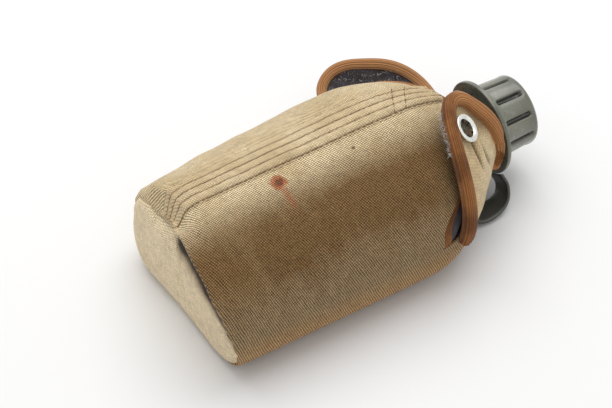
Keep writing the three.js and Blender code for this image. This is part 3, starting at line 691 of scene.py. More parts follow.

# %% [markdown]
# The cap, its ring and strap are olive-grey moulded plastic, scuffed pale, most of all on the cap's ridges.
# The cap's lobes carry a painted highlight and its slots painted shade, both found by how far a point stands
# from the neck axis. The studs are bright plate with rust in the corners, and the hook is blackened wire.
# Noise moves the roughness as well as the colour, so that highlights break up as they do on handled things.

# %% Plastic and metal
GRIP_TOP, GRIP_FOOT = (CAP_END - 2.0, CAP_END - 4.0), (CAP_END - 24.0, CAP_END - 21.0)
LOBE_REACH, SLOT_REACH, RIDGE_REACH = (19.9, 20.8), (19.8, 18.8), (20.4, 20.9)
# Painted highlight for the cap's lobes and painted shade for its slots.
LOBE_HIGHLIGHT, SLOT_SHADE = tone(150, 152, 138), tone(30, 30, 24)


def moulded(name, deep, body, scuff, gloss, grooves=False):
    finish = Finish(name, Coat_Weight=0.5, Coat_Roughness=0.22)
    where = finish.object_place()
    slow = finish.noise(where, 45.0, 4.0)
    fine = finish.noise(where, 420.0, 4.0, 0.7)
    nick = finish.noise(where, 190.0, 6.0, 0.8)
    colour = finish.blend(slow.between(0.3, 0.7), deep, body)
    marks = nick.between(0.64, 0.74)
    if grooves:
        x, y, z = place_mm(finish)
        reach = (y * y + (z - AXIS_HEIGHT) * (z - AXIS_HEIGHT)).power(0.5)
        on_grip = x.between(*GRIP_TOP) * x.between(*GRIP_FOOT)
        # Painted highlight on the lobes and painted shade in the slots.
        colour = finish.blend(on_grip * reach.between(*LOBE_REACH) * 0.3, colour, LOBE_HIGHLIGHT)
        colour = finish.blend(on_grip * reach.between(*SLOT_REACH) * 0.85, colour, SLOT_SHADE)
        marks = marks.top(on_grip * reach.between(*RIDGE_REACH) * nick.between(0.5, 0.66) * 0.45)
    colour = finish.blend(marks * 0.75, colour, scuff)
    rough = fine * 0.25 + marks * 0.25 + gloss
    bump = finish.bump(fine * 0.4 + nick * 0.4, 0.0002, 0.6)
    return finish.set(Base_Color=colour, Roughness=rough, Normal=bump)


def bright_plate():
    finish = Finish("worn_plate", Metallic=1.0)
    where = finish.object_place()
    slow = finish.noise(where, 150.0, 4.0)
    fine = finish.noise(where, 900.0, 3.0)
    rust = finish.noise(where, 320.0, 5.0, 0.7).between(0.6, 0.7)
    colour = finish.blend(slow.between(0.3, 0.7), tone(206, 206, 200), tone(238, 238, 234))
    colour = finish.blend(rust * 0.7, colour, tone(140, 88, 52))
    rough = fine * 0.2 + rust * 0.4 + 0.16
    return finish.set(Base_Color=colour, Roughness=rough, Metallic=1 - rust * 0.8,
                      Normal=finish.bump(fine, 0.0001, 0.5))


def dull_metal(name, deep, body, flake):
    finish = Finish(name, Metallic=0.85)
    where = finish.object_place()
    slow = finish.noise(where, 240.0, 5.0, 0.7)
    worn = finish.noise(where, 520.0, 4.0, 0.75).between(0.58, 0.7)
    colour = finish.blend(worn, finish.blend(slow.between(0.3, 0.7), deep, body), flake)
    rough = slow * 0.3 + 0.32
    return finish.set(Base_Color=colour, Roughness=rough, Normal=finish.bump(slow, 0.0002, 0.6))


CAP_PLASTIC = moulded("olive_grey_plastic", tone(80, 81, 68), tone(106, 106, 91), tone(190, 192, 180), 0.16,
                      grooves=True)
STRAP_PLASTIC = moulded("dark_strap_plastic", tone(44, 44, 37), tone(60, 59, 50), tone(128, 124, 108), 0.38)
BOTTLE_PLASTIC = moulded("bottle_plastic", tone(58, 60, 50), tone(78, 80, 68), tone(112, 112, 98), 0.36)
PLATE = bright_plate()
TARNISH = dull_metal("tarnished_brass", tone(48, 44, 36), tone(96, 84, 66), tone(158, 92, 50))
BLACK_WIRE = dull_metal("blackened_wire", tone(38, 38, 36), tone(62, 62, 58), tone(140, 134, 124))
GASKET = flecked("black_rubber", tone(28, 28, 28), tone(40, 40, 40))
print("finishes:", len(bpy.data.materials))

# %% [markdown]
# The canvas is cut as a far front, a near front, a back and a base. Each follows the body's outer face, with
# the slack of real cloth added: slow swells, small puckers near the base seam, and stuffed lower corners. A
# cloth simulation could give such slack, but cloth sewn tight over a bottle hardly drapes, and smooth noise
# gives the same cloth every time. The canvas ends in a hem. On the near half it runs past the base, which
# leaves a shadowed pocket behind it, and under the strip it turns down over the base edge.

# %% Canvas slack
STRIP_Y, STRIP_WIDTH = 14.0, 24.5
STRIP_MID = front_w_at(STRIP_Y)
STRIP_FAR = front_w_at(STRIP_Y + STRIP_WIDTH / 2)
STRIP_NEAR = front_w_at(STRIP_Y - STRIP_WIDTH / 2)
ROUND_MM = float(FRONT_TABLE[2])
CORNER_SWELL, PUCKER_PITCH, BACK_TAUT = 1.0, 2.6, 0.85


def near_bump(v, centre, width):
    return np.exp(-((v - centre) / width) ** 2)


HEM_KNOTS = [0, 0.1, 0.2, 0.3, 0.42, 0.55, 0.66, 0.8, 0.92, 1.0, 1.08, 1.16, 1.3, 1.7, 2.0]
HEM_START = [-2, -5, -8, -10.5, -11.5, -15, -16.5, -16, -12.5, -8, -4, -1, 0, 0, -2]
FOLD_KNOTS = [0, 0.12, 0.3, 0.42, 0.5, 0.56, 2.0]
FOLD_DROP = [1, 8, 12, 11, 7, 1, 0]
FOLD_START, FOLD_LENGTH, FOLD_POWER = -3.0, 7.0, 1.2


def hem_x(w):
    """Where the canvas ends over the base at w: drawn back on the far side, past the base on the near."""
    w = np.asarray(w, float)
    knots, starts = np.array(HEM_KNOTS, float), np.array(HEM_START, float)
    i = np.clip(np.searchsorted(knots, w, side="right") - 1, 0, len(knots) - 2)
    f = ease((w - knots[i]) / (knots[i + 1] - knots[i]))
    return mix(starts[i], starts[i + 1], f)


def slack(x, w):
    """Outward swell of the canvas, in millimetres."""
    swell = 0.8 * ripple(x, w * ROUND_MM, 38.0, 1.7) + 0.35 * ripple(x, w * ROUND_MM, 13.0, 5.1)
    low_corner = near_bump(w, 1.13, 0.13) + near_bump(w, 1.86, 0.14)
    swell = swell + CORNER_SWELL * low_corner * near_bump(x, 1.0, 18.0)
    seam = near_bump(x, BASE_X, 5.0) * 0.15 * np.sin(w * ROUND_MM / PUCKER_PITCH)
    on_back = ease((w - 1.02) / 0.1) * (1 - ease((w - 1.9) / 0.1))
    return (swell + seam) * (1 - BACK_TAUT * on_back)


def fold_drop(x, w):
    """How far the canvas turns in over the base at x, in millimetres."""
    return np.interp(w, FOLD_KNOTS, FOLD_DROP) * unit((FOLD_START - x) / FOLD_LENGTH) ** FOLD_POWER


def canvas_point(x, w, depth):
    """Point on the canvas; past the base edge it runs on, and the strip turns down."""
    inside = np.maximum(x, BASE_X)
    p = layer(inside, round_angle(w), depth + fold_drop(x, w) - slack(inside, w))
    p[..., 0] += x - inside
    return p


print("strip from w", round(STRIP_FAR, 3), "to", round(STRIP_NEAR, 3), "and hem from x",
      min(HEM_START), "to", max(HEM_START), "mm")


# %% [markdown]
# Every sheet is declared like any other piece, with canvas as its slot unless another is named.


def declare_cloth(obj, body, node, slot="canvas"):
    declare(obj, body, slot, node)


# %% [markdown]
# A panel is a grid between two values of w, from the hem to the mouth. It has an outer and an inner face, so
# that the cut edge shows the cloth's thickness, and it is thicker along the hem, where the real one is turned
# in. The back starts and ends a hair inside the side seams, because w counts as the front up to exactly 1.

# %% Canvas panels
HEM_THICK, HEM_WIDTH = 0.5, 3.5
SEAM = 1e-5


def canvas_panel(name, w0, w1, cols, rows):
    w = np.linspace(w0, w1, cols)[None, :]
    s = np.linspace(0, 1, rows)[:, None]
    start = hem_x(w)
    x = mix(start, mouth_x(w), s)
    hem = HEM_THICK * near_bump(x - start, 0.0, HEM_WIDTH)
    outer = canvas_point(x, w + 0 * x, -hem)
    inner = canvas_point(x, w + 0 * x, CANVAS + hem)
    uv = np.stack([x, w * ROUND_MM + 0 * x], -1)
    return slab(name, outer, inner, KHAKI, uv)


front_far = canvas_panel("front_far_cloth", 0.0, STRIP_MID, 64, 120)
front_near = canvas_panel("front_near_cloth", STRIP_MID, 1.0, 84, 120)
back_cloth = canvas_panel("back_cloth", 1.0 + SEAM, 2.0 - SEAM, 120, 140)
for piece, node in ((front_far, "cover_front_far"), (front_near, "cover_front_near"),
                    (back_cloth, "cover_back")):
    declare_cloth(piece, "carrier", node)


# %% [markdown]
# The base is one oval of paler canvas. It bellies out where the bottle presses on it and sinks in behind the
# hem on the near front. A flat oval could be pushed into shape with a brush; here it is built as shrinking
# rings, so that the belly is a number for each place round the rim. Its UV map holds, for the painted shade
# in the pocket, how steeply a point lies below the hem's lip, as ten times its depth over the hem's overhang.

# %% Base panel
BASE_RINGS, RING_CROWD, RING_REACH = 36, 1.6, 0.98
BASE_ROUND = 160
BASE_KNOTS = [0, 0.2, 0.35, 0.6, 0.85, 1.0, 1.2, 1.5, 1.8, 2.0]
BASE_BELLY = [-6, -8, -9, -8, -9, -6, -2.5, -2, -5, -6]
BASE_TUCK = [-3, -5, -5, -3, -3, -3, -3, -3, -3, -3]
BASE_ROUNDING, BASE_MIDDLE = 3.5, -3.5
GROOVE, GROOVE_SQUARE, GROOVE_AT, GROOVE_SPREAD = 1.0, 1.9, 0.66, 0.2
RIM_INSET, RIM_GAP = 1.2, 0.2
LEAST_OVERHANG, WAY_SCALE = 1.0, 50


def base_rim(w, groove):
    """Edge of the base, tucked under the canvas and behind its hem."""
    rim_x = np.maximum(hem_x(w) + RIM_INSET, np.interp(w, BASE_KNOTS, BASE_TUCK))
    inside = np.maximum(rim_x, BASE_X)
    tucked = CANVAS + RIM_GAP + GROOVE * groove + fold_drop(hem_x(w), w)
    rim = layer(inside, round_angle(w), tucked - slack(inside, w))
    rim[:, 0] += rim_x - inside
    return rim


def pocket_uv(w, points):
    """How deep each point lies behind the hem, and how far round."""
    lip = canvas_point(hem_x(w), w, 0 * w)
    below = -((points - lip) * carrier_normal(BASE_X + 0 * w, round_angle(w))).sum(-1)
    overhang = np.maximum(BASE_X - hem_x(w), LEAST_OVERHANG)
    deep = 10 * (below + fold_drop(hem_x(w), w)) / overhang
    return np.stack(np.broadcast_arrays(deep, w[None] * WAY_SCALE), -1)


def base_panel():
    w = np.arange(BASE_ROUND) / BASE_ROUND * 2
    belly = np.interp(w, BASE_KNOTS, BASE_BELLY)
    groove = near_bump(w, GROOVE_AT, GROOVE_SPREAD)
    rim = base_rim(w, groove)
    square = mix(BASE_ROUNDING, GROOVE_SQUARE, groove)
    centre = rim.mean(0)
    grids = []
    for side in (0.0, CANVAS):
        rings = []
        for s in 1 - np.linspace(0, 1, BASE_RINGS) ** RING_CROWD * RING_REACH:
            p = centre + (rim - centre) * s
            swell = (1 - s ** square) ** (1 / square)
            fold = 0.4 * ripple(p[:, 1], p[:, 2], 15.0, 3.3) + 0.25 * ripple(p[:, 1], p[:, 2], 5.0, 6.3)
            lean = BASE_X + lean_at(BASE_X, p[:, 2])
            flat = mix(rim[:, 0], lean + belly, swell)
            p[:, 0] = mix(flat, lean + BASE_MIDDLE, (1 - s) ** 2) + fold * (1 - s) + side
            rings.append(p)
        grids.append(np.array(rings))
    loop = np.concatenate([grids[0][::-1], grids[1]])
    return tube("base_cloth", loop, KHAKI_BASE, pocket_uv(w, loop))


base_cloth = base_panel()
declare_cloth(base_cloth, "carrier", "cover_base", "base_canvas")

# %% [markdown]
# A stitched strip covers the front join from the base to the mouth. It could be a flat band with a bump map,
# but its rows of stitching pull it down and the cloth puffs between them, which shows along its edge. So its
# height is a row of arches with small puckers along each row.

# %% Front strip
STRIP_ROWS, STRIP_THICK, STRIP_PUFF = 5, 1.0, 0.9
PUCKER_HEIGHT, PUCKER_STEP, CREASE_HEIGHT, STRIP_EDGE = 0.5, 0.62, 0.5, 4.0
ROW_EDGE = 0.045
ROW_FIRST = mix(STRIP_FAR, STRIP_NEAR, ROW_EDGE) * ROUND_MM
ROW_STEP = (STRIP_NEAR - STRIP_FAR) * ROUND_MM * (1 - 2 * ROW_EDGE) / (STRIP_ROWS - 1)
KHAKI_STRIP = twill("strip_twill", tone(204, 185, 150), tone(188, 166, 129), 1.0, rows=(ROW_FIRST, ROW_STEP))


def strip_lift(x, share):
    """Height of the strip over the canvas at share 0 to 1 across it."""
    row = (share - ROW_EDGE) / (1 - 2 * ROW_EDGE) * (STRIP_ROWS - 1)
    arch = np.abs(np.sin(np.pi * unit(row / (STRIP_ROWS - 1)) * (STRIP_ROWS - 1))) ** 0.6
    pucker = PUCKER_HEIGHT * np.sin(x / PUCKER_STEP + 2.5 * np.round(row)) * (1 - arch) * 0.4
    crease = CREASE_HEIGHT * ripple(x, share * 30, 4.5, 8.8) * arch
    edge = ease(np.minimum(share, 1 - share) * STRIP_WIDTH / STRIP_EDGE)
    return STRIP_PUFF * arch + pucker + crease - (1 - edge) * (STRIP_THICK - 0.1)


def strip_end(w):
    return mouth_x(w) - 1.0


def front_strip():
    share = np.linspace(0, 1, 61)[None, :]
    s = np.linspace(0, 1, 190)[:, None]
    w = mix(STRIP_FAR, STRIP_NEAR, share)
    x = mix(hem_x(w) + 0.5, strip_end(w), s)
    lift = strip_lift(x, share + 0 * x)
    outer = canvas_point(x, w + 0 * x, -(GAP + STRIP_THICK + lift))
    inner = canvas_point(x, w + 0 * x, -0.1 + 0 * lift)
    uv = np.stack([x, w * ROUND_MM + 0 * x], -1)
    return slab("front_strip_cloth", outer, inner, KHAKI_STRIP, uv)


strip_cloth = front_strip()
declare_cloth(strip_cloth, "carrier", "centre_strip")

# %% [markdown]
# Stitches repeat along paths, which is work for Geometry Nodes. One tree takes a curve, steps along it at
# the stitch length, turns a short spindle along the path at each step and sets the thread finish. The result
# is kept as a plain mesh. First come helpers for any tree on this canteen: a node with its settings and
# links, a tree with named sizes, and the ending that turns copies into real faces with a finish.

# %% Tree helpers
def tree_node(tree, kind, settings=None, inputs=None):
    made = tree.nodes.new(kind)
    for key, value in (settings or {}).items():
        setattr(made, key, value)
    for key, value in (inputs or {}).items():
        if hasattr(value, "links"):
            tree.links.new(value, made.inputs[key])
        else:
            made.inputs[key].default_value = value
    return made


def new_tree(name, sizes):
    tree = bpy.data.node_groups.new(name, "GeometryNodeTree")
    tree.interface.new_socket("Geometry", in_out="INPUT", socket_type="NodeSocketGeometry")
    ids = {}
    for label in sizes:
        socket = tree.interface.new_socket(label, in_out="INPUT", socket_type="NodeSocketFloat")
        ids[label] = socket.identifier
    tree.interface.new_socket("Geometry", in_out="OUTPUT", socket_type="NodeSocketGeometry")
    return tree, tree_node(tree, "NodeGroupInput"), tree_node(tree, "NodeGroupOutput"), ids


def path_steps(tree, source):
    """Points along the curve, one Pitch apart."""
    return tree_node(tree, "GeometryNodeResampleCurve", {"mode": "LENGTH"},
                     {"Curve": source.outputs["Geometry"], "Length": source.outputs["Pitch"]}).outputs[0]


def varied_size(tree, source, least, most, seed):
    """Thickness, Thickness and Length as one vector, times a random number for each copy."""
    thick, length = source.outputs["Thickness"], source.outputs["Length"]
    size = tree_node(tree, "ShaderNodeCombineXYZ", {}, {0: thick, 1: thick, 2: length})
    vary = tree_node(tree, "FunctionNodeRandomValue", {"data_type": "FLOAT"},
                     {2: least, 3: most, "Seed": seed})
    return tree_node(tree, "ShaderNodeVectorMath", {"operation": "SCALE"},
                     {0: size.outputs[0], "Scale": vary.outputs[1]}).outputs[0]


def copies_at(tree, points, shape, turn, scale):
    return tree_node(tree, "GeometryNodeInstanceOnPoints", {}, {
        "Points": points, "Instance": shape, "Rotation": turn, "Scale": scale}).outputs[0]


def end_tree(tree, result, geometry, material):
    real = tree_node(tree, "GeometryNodeRealizeInstances", {}, {"Geometry": geometry})
    dressed = tree_node(tree, "GeometryNodeSetMaterial", {},
                        {"Geometry": real.outputs[0], "Material": material})
    tree.links.new(dressed.outputs[0], result.inputs[0])
    print(tree.name, "tree has", len(tree.nodes), "nodes")


# %% [markdown]
# A tree runs as a modifier on a curve object. Its inputs are set by identifier before the first evaluation,
# the evaluated mesh is copied to a plain object, and the curve is thrown away with its modifier.

# %% Running a tree
def run_tree(name, obj, tree, ids, sizes):
    """Evaluate a tree on an object and keep the result as a plain mesh piece."""
    modifier = obj.modifiers.new("make", "NODES")
    modifier.node_group = tree
    for label, value in sizes.items():
        modifier[ids[label]] = value
    bpy.context.view_layer.update()
    evaluated = obj.evaluated_get(bpy.context.evaluated_depsgraph_get())
    mesh = bpy.data.meshes.new_from_object(evaluated)
    made = add_object(name, mesh)
    bpy.data.objects.remove(obj)
    print(name, len(mesh.polygons), "faces")
    return made


def path_object(paths):
    """A curve object with one open poly spline per path, from millimetres."""
    data = bpy.data.curves.new("paths", "CURVE")
    data.dimensions = "3D"
    for path in paths:
        spline = data.splines.new("POLY")
        spline.points.add(len(path) - 1)
        flat = np.concatenate([to_frame(path), np.ones((len(path), 1))], 1)
        spline.points.foreach_set("co", flat.astype(np.float32).ravel())
    return add_object("paths", data)


# %% [markdown]
# One stitch is a spindle of two short cones, foot to foot, so that the thread is thick in the middle and thin
# at both ends. The curve's tangent turns it along the row, and a random size for each copy keeps the row from
# looking too even.

# %% Stitch tree
def stitch_tree():
    tree, source, result, ids = new_tree("stitch_row", ["Pitch", "Length", "Thickness"])
    way = tree_node(tree, "GeometryNodeInputTangent")
    turn = tree_node(tree, "FunctionNodeAlignEulerToVector", {"axis": "Z"}, {"Vector": way.outputs[0]})
    half = tree_node(tree, "GeometryNodeMeshCone", {"fill_type": "NGON"},
                     {"Vertices": 6, "Side Segments": 1, "Fill Segments": 1, "Radius Top": 0.6,
                      "Radius Bottom": 1.0, "Depth": 1.0})
    flip = tree_node(tree, "GeometryNodeTransform", {},
                     {"Geometry": half.outputs[0], "Rotation": (math.pi, 0, 0)})
    both = tree_node(tree, "GeometryNodeJoinGeometry")
    for part in (half, flip):
        tree.links.new(part.outputs[0], both.inputs[0])
    scale = varied_size(tree, source, 0.85, 1.1, 7)
    rows = copies_at(tree, path_steps(tree, source), both.outputs[0], turn.outputs[0], scale)
    end_tree(tree, result, rows, THREAD)
    return tree, ids


STITCHES, STITCH_IDS = stitch_tree()

# %% [markdown]
# Five rows run along the strip. The outer two go on to the mouth, and the inner ones stop at two short tack
# lines that cross the strip aslant. Every row lies on the strip's own puffed surface.

# %% Stitch rows on the strip
TACK_X, TACK_STEP, TACK_SLANT, TACK_GAP = 140.0, 3, 12, 7.0
STITCH_SIZES = {"Pitch": 2.9 / 1000, "Length": 2.2 / 2000, "Thickness": 0.5 / 2000}


def strip_rows():
    rows = []
    for k in range(STRIP_ROWS):
        share = ROW_EDGE + (1 - 2 * ROW_EDGE) * k / (STRIP_ROWS - 1)
        w = mix(STRIP_FAR, STRIP_NEAR, share)
        outer_row = k in (0, STRIP_ROWS - 1)
        stop = float(strip_end(w)) - 2 if outer_row else TACK_X - TACK_STEP * k
        x = np.linspace(float(hem_x(w)) + 2, stop, 150)
        lift = strip_lift(x, share + 0 * x)
        rows.append(canvas_point(x, w + 0 * x, -(GAP + STRIP_THICK + lift + 0.05)))
    share = np.linspace(0.08, 0.92, 40)
    w = mix(STRIP_FAR, STRIP_NEAR, share)
    for shift in (0.0, TACK_GAP):
        x = TACK_X + shift - TACK_SLANT * share
        rows.append(canvas_point(x, w, -(GAP + STRIP_THICK + strip_lift(x, share) + 0.15)))
    return rows


strip_stitches = run_tree("strip_stitches", path_object(strip_rows()), STITCHES, STITCH_IDS, STITCH_SIZES)
declare(strip_stitches, "carrier", "canvas")

# %% [markdown]
# Tape closes over every raw edge. A flat ribbon along the edge would show no thickness, so each tape is a
# ribbed, rounded section swept along the edge: one side of the section on the canvas, the other on the felt.
# The ribs are real ridges, four to a face. Where the front mouth sags back, its tape goes with the canvas.

# %% Tape sweep
TAPE_RIBS, RIB_HEIGHT, TAPE_AROUND = 4, 0.16, 56
MOUTH_TAPE_WIDTH, MOUTH_TAPE_THICK, MOUTH_TAPE_STEPS = 6.0, 4.4, 150
MOUTH_TAPE_OUT, MOUTH_TAPE_EASE, MOUTH_TAPE_SINK = 1.6, 2.0, 1.0
SIDE_SEAM = 0.004


def tape_section(width, thick):
    """Closed outline of a tape folded over an edge: local out, local up."""
    a = np.linspace(0, 2 * math.pi, TAPE_AROUND, endpoint=False)
    out = signed_power(np.cos(a), 0.75) * width / 2
    up = signed_power(np.sin(a), 0.6) * thick / 2
    rib = RIB_HEIGHT * np.cos(out / width * 2 * math.pi * TAPE_RIBS) * np.abs(np.sin(a)) ** 0.5
    return out, up * (1 + 2 * rib / thick)


def tape(name, centre, out_dir, up_dir, width, thick):
    centre, out_dir, up_dir = (np.asarray(v, float) for v in (centre, out_dir, up_dir))
    out, up = tape_section(width, thick)
    rings = centre[:, None] + out_dir[:, None] * out[None, :, None] + up_dir[:, None] * up[None, :, None]
    run = np.concatenate([[0], np.cumsum(np.linalg.norm(np.diff(centre, axis=0), axis=1))])
    spread = np.cumsum(np.hypot(np.diff(out, append=out[:1]), np.diff(up, append=up[:1])))
    uv = np.stack(np.broadcast_arrays(run[:, None], spread[None, :]), -1)
    return tube(name, rings, TAPE, uv)


def direction(v):
    return v / np.linalg.norm(v, axis=-1, keepdims=True)


def mouth_tape(name, w0, w1):
    w = np.linspace(w0, w1, MOUTH_TAPE_STEPS)
    drawn = (lining_end(w) - mouth_x(w)) / MOUTH_SAG
    x = mouth_x(w) + MOUTH_TAPE_OUT + MOUTH_TAPE_EASE * drawn
    t = round_angle(w)
    middle = (CANVAS + FELT) / 2
    centre = layer(x, t, middle + MOUTH_TAPE_SINK * drawn - slack(x, w))
    away = direction(layer(x + 1.0, t, middle + 0 * x) - layer(x - 1.0, t, middle + 0 * x))
    return tape(name, centre, away, carrier_normal(x, t), MOUTH_TAPE_WIDTH, MOUTH_TAPE_THICK)


for side, w0 in (("front", 0), ("back", 1)):
    binding = mouth_tape(f"{side}_mouth_tape", w0 + SIDE_SEAM, w0 + 1 - SIDE_SEAM)
    declare(binding, "carrier", "binding", f"mouth_binding_{side}")


# %% [markdown]
# Felt lines the whole carrier and shows at the mouth. It is a thicker layer just inside the canvas, on the
# same formula, with a little noise on its inner face because felt is never flat.

# %% Felt lining
FELT_START, FELT_SHORT = -0.6, 0.5


def felt_panel(name, w0, w1, cols, rows):
    w = np.linspace(w0, w1, cols)[None, :]
    s = np.linspace(0, 1, rows)[:, None]
    x = mix(FELT_START, lining_end(w) - FELT_SHORT, s)
    fuzz = 0.25 * ripple(x, w * ROUND_MM, 5.0, 2.2)
    t = round_angle(w + 0 * x)
    outer = layer(x, t, CANVAS + GAP + 0 * x)
    inner = layer(x, t, CANVAS + GAP + FELT + fuzz)
    return slab(name, outer, inner, WOOL, np.stack([x, w * ROUND_MM + 0 * x], -1))


for side, w0, inside_of in (("front", 0, "front_near_cloth"), ("back", 1, "back_cloth")):
    lining = felt_panel(f"{side}_felt", w0 + SIDE_SEAM, w0 + 1 - SIDE_SEAM, 80, 60)
    declare_cloth(lining, "carrier", f"lining_{side}", "felt")


# %% [markdown]
# The flaps are half-round tongues. Both are made from the same half-disc coordinates: across the root from -1
# to 1, and out from root to tip from 0 to 1. The near one is folded over the shoulder and pressed shut. It is
# the carrier's own face lifted a little, with its rim curled up, its base side tilted up and its neck side
# raised.

# %% Near flap face
FLAP_ROOT_X = SHOULDER_START + 0.65 * SHOULDER_LENGTH
FLAP_TIP_X = SHOULDER_START + 0.67 * SHOULDER_LENGTH
FLAP_ROOT_HALF = 0.355 * SHOULDER_LENGTH
FLAP_TIP_HALF = 0.41 * SHOULDER_LENGTH
FLAP_ROOT_TURN, FLAP_TIP_TURN = 1.0, 0.09
FLAP_ROOT_LIFT, FLAP_TIP_LIFT, FLAP_RIM_CURL, FLAP_TILT = 1.1, 1.6, 4.5, 12.0
FLAP_NECK_CURL, NECK_CURL_FROM, NECK_CURL_POWER = 8.0, 0.25, 0.45
FLAP_FELT = 1.2
SNAP_ALONG, SNAP_ACROSS = 0.7, -0.16
NEAR_OUTWARD = np.array([0.5, -0.4, 0.75])


def near_flap_face(across, out):
    across, out = np.broadcast_arrays(np.asarray(across, float), np.asarray(out, float))
    x = mix(FLAP_ROOT_X, FLAP_TIP_X, out) + mix(FLAP_ROOT_HALF, FLAP_TIP_HALF, out) * across
    rim = np.hypot(across, out)
    tilt = FLAP_TILT * out * (1 - across) / 2
    lift = FLAP_ROOT_LIFT + FLAP_TIP_LIFT * np.abs(out) ** 1.5 + FLAP_RIM_CURL * out * rim ** 4 + tilt
    neck_side = ease((across - NECK_CURL_FROM) / (1 - NECK_CURL_FROM))
    lift = lift + FLAP_NECK_CURL * np.abs(out) ** NECK_CURL_POWER * neck_side
    turn = mix(FLAP_ROOT_TURN, FLAP_TIP_TURN, out)
    return layer(x, round_angle(0.5 + turn / 2), -lift)


print("near flap reaches from", near_flap_face(0.0, 0.0).round(1), "to", near_flap_face(0.0, 1.0).round(1))

# %% [markdown]
# The far flap lies open with its felt on top, so it isn't on the carrier at all: it is a sagging sheet that
# starts at the far side's root line and reaches outward. Its half-disc is squared a little, because it looks
# squarer than a half circle in the photograph.

# %% Far flap face
FAR_ROOT_TURN, FAR_ROOT_GAP = 1.0, 0.4
FAR_ROOT_X = SHOULDER_START + 0.58 * SHOULDER_LENGTH
FAR_HALF = 0.415 * SHOULDER_LENGTH
FAR_REACH = np.array([9.0, 33.0, 3.0])
FAR_SQUARENESS, FAR_SAG, FAR_SPREAD = 3.0, 7.0, 3.0
FAR_OUTWARD = np.array([0.0, 0.0, -1.0])


def far_root(x, lift):
    p = layer(x, round_angle(0.5 + FAR_ROOT_TURN / 2), -lift + 0 * np.asarray(x, float))
    return p * np.array([1, -1, 1])


FAR_BASE = far_root(np.array(FAR_ROOT_X - FAR_HALF), 0.0)
FAR_NECK = far_root(np.array(FAR_ROOT_X + FAR_HALF), 0.0)
FAR_OUT = direction(np.cross([0, 0, 1], FAR_NECK - FAR_BASE))
root_line = far_root(FAR_ROOT_X + FAR_HALF * np.linspace(-1, 1, 41), FAR_ROOT_GAP)
FAR_BULGE = float(((root_line - FAR_BASE) @ FAR_OUT).max())


def far_flap_face(across, out):
    across, out = np.broadcast_arrays(np.asarray(across, float), np.asarray(out, float))
    spread = np.abs(across) ** FAR_SQUARENESS + np.abs(out) ** FAR_SQUARENESS
    squared = np.maximum(spread, 1e-9) ** (1 / FAR_SQUARENESS)
    grow = np.where(spread > 1e-9, np.hypot(across, out) / squared, 1)
    across, out = across * grow, out * grow
    p = mix(FAR_BASE, FAR_NECK, ((across + 1) / 2)[..., None]) + FAR_OUT * FAR_BULGE
    p = p + FAR_REACH * out[..., None]
    p[..., 0] += FAR_SPREAD * across * np.sin(np.pi * out)
    p[..., 2] -= FAR_SAG * np.sin(np.pi * out)
    return p


print("far flap's root stands out", round(FAR_BULGE, 2), "mm from its straight line")

# %% [markdown]
# Each flap is a canvas sheet, a felt sheet under it and a tape round the rim. Canvas and felt are slabs on a
# grid that maps a square onto the half-disc without a pinched middle, and they share one crease function, so
# they can't cut through each other. The near flap has two creases from being folded, and puffs between them.

# %% Flap pieces
CLOTH_INSET, CLOTH_GAP, FLAP_COUNT = 2.0, GAP * 0.3, 92
NORMAL_REACH, TAPE_END_TURN, TAPE_END_OUT = 0.02, 0.03, -0.02


def face_normal(face, across, out, outward):
    d = NORMAL_REACH
    a = face(across + d, out) - face(across - d, out)
    b = face(across, out + d) - face(across, out - d)
    n = direction(np.cross(a, b))
    return n * np.sign((n * outward).sum(-1, keepdims=True))


def flap_grid(inset_across, inset_out):
    p = np.linspace(-1, 1, FLAP_COUNT)[:, None]
    v = np.linspace(0, 1, FLAP_COUNT // 2 + 6)[None, :]
    across = inset_across * p * np.sqrt(1 - v * v / 2)
    out = inset_out * v * np.sqrt(1 - p * p / 2)
    return across, out


def flap_insets(face, edge):
    half = np.linalg.norm(face(1.0, 0.0) - face(-1.0, 0.0)) / 2
    length = np.linalg.norm(face(0.0, 1.0) - face(0.0, 0.0))
    return 1 - edge / half, 1 - edge / length


def flap_sheets(side, face, outward, body, crease):
    across, out = flap_grid(*flap_insets(face, CLOTH_INSET))
    normal = face_normal(face, across, out, outward)
    middle = face(across, out)
    wave = crease(across, out)[..., None]
    cloth_foot = FLAP_FELT + CLOTH_GAP
    felt_low, felt_top, cloth_low, cloth_top = (
        middle + normal * (height + wave) for height in (0.0, FLAP_FELT, cloth_foot, cloth_foot + CANVAS))
    uv = np.stack([across * FLAP_U, out * FLAP_V], -1)
    cloth = slab(f"{side}_flap_cloth", cloth_top, cloth_low, KHAKI_FLAP, uv)
    felt = slab(f"{side}_flap_felt", felt_top, felt_low, WOOL, uv)
    declare_cloth(cloth, body, f"{side}_flap")
    declare_cloth(felt, body, f"{side}_flap_lining", "felt")


def flap_tape(side, face, outward, body, width, thick, stand):
    a = np.linspace(-TAPE_END_TURN, math.pi + TAPE_END_TURN, 130)
    edge_across, edge_out = flap_insets(face, width / 2)
    ca, co = -edge_across * np.cos(a), np.maximum(edge_out * np.sin(a), TAPE_END_OUT)
    up = face_normal(face, ca, co, outward)
    rim = face(-np.cos(a), np.sin(a))
    centre = face(ca, co) + up * ((FLAP_FELT + CANVAS) / 2 + stand * unit(co)[:, None] ** 0.5)
    away = rim - face(ca, co)
    away = direction(away - up * (away * up).sum(-1, keepdims=True))
    band = tape(f"{side}_flap_tape", centre, away, up, width, thick)
    declare(band, body, "binding", f"{side}_flap_binding")
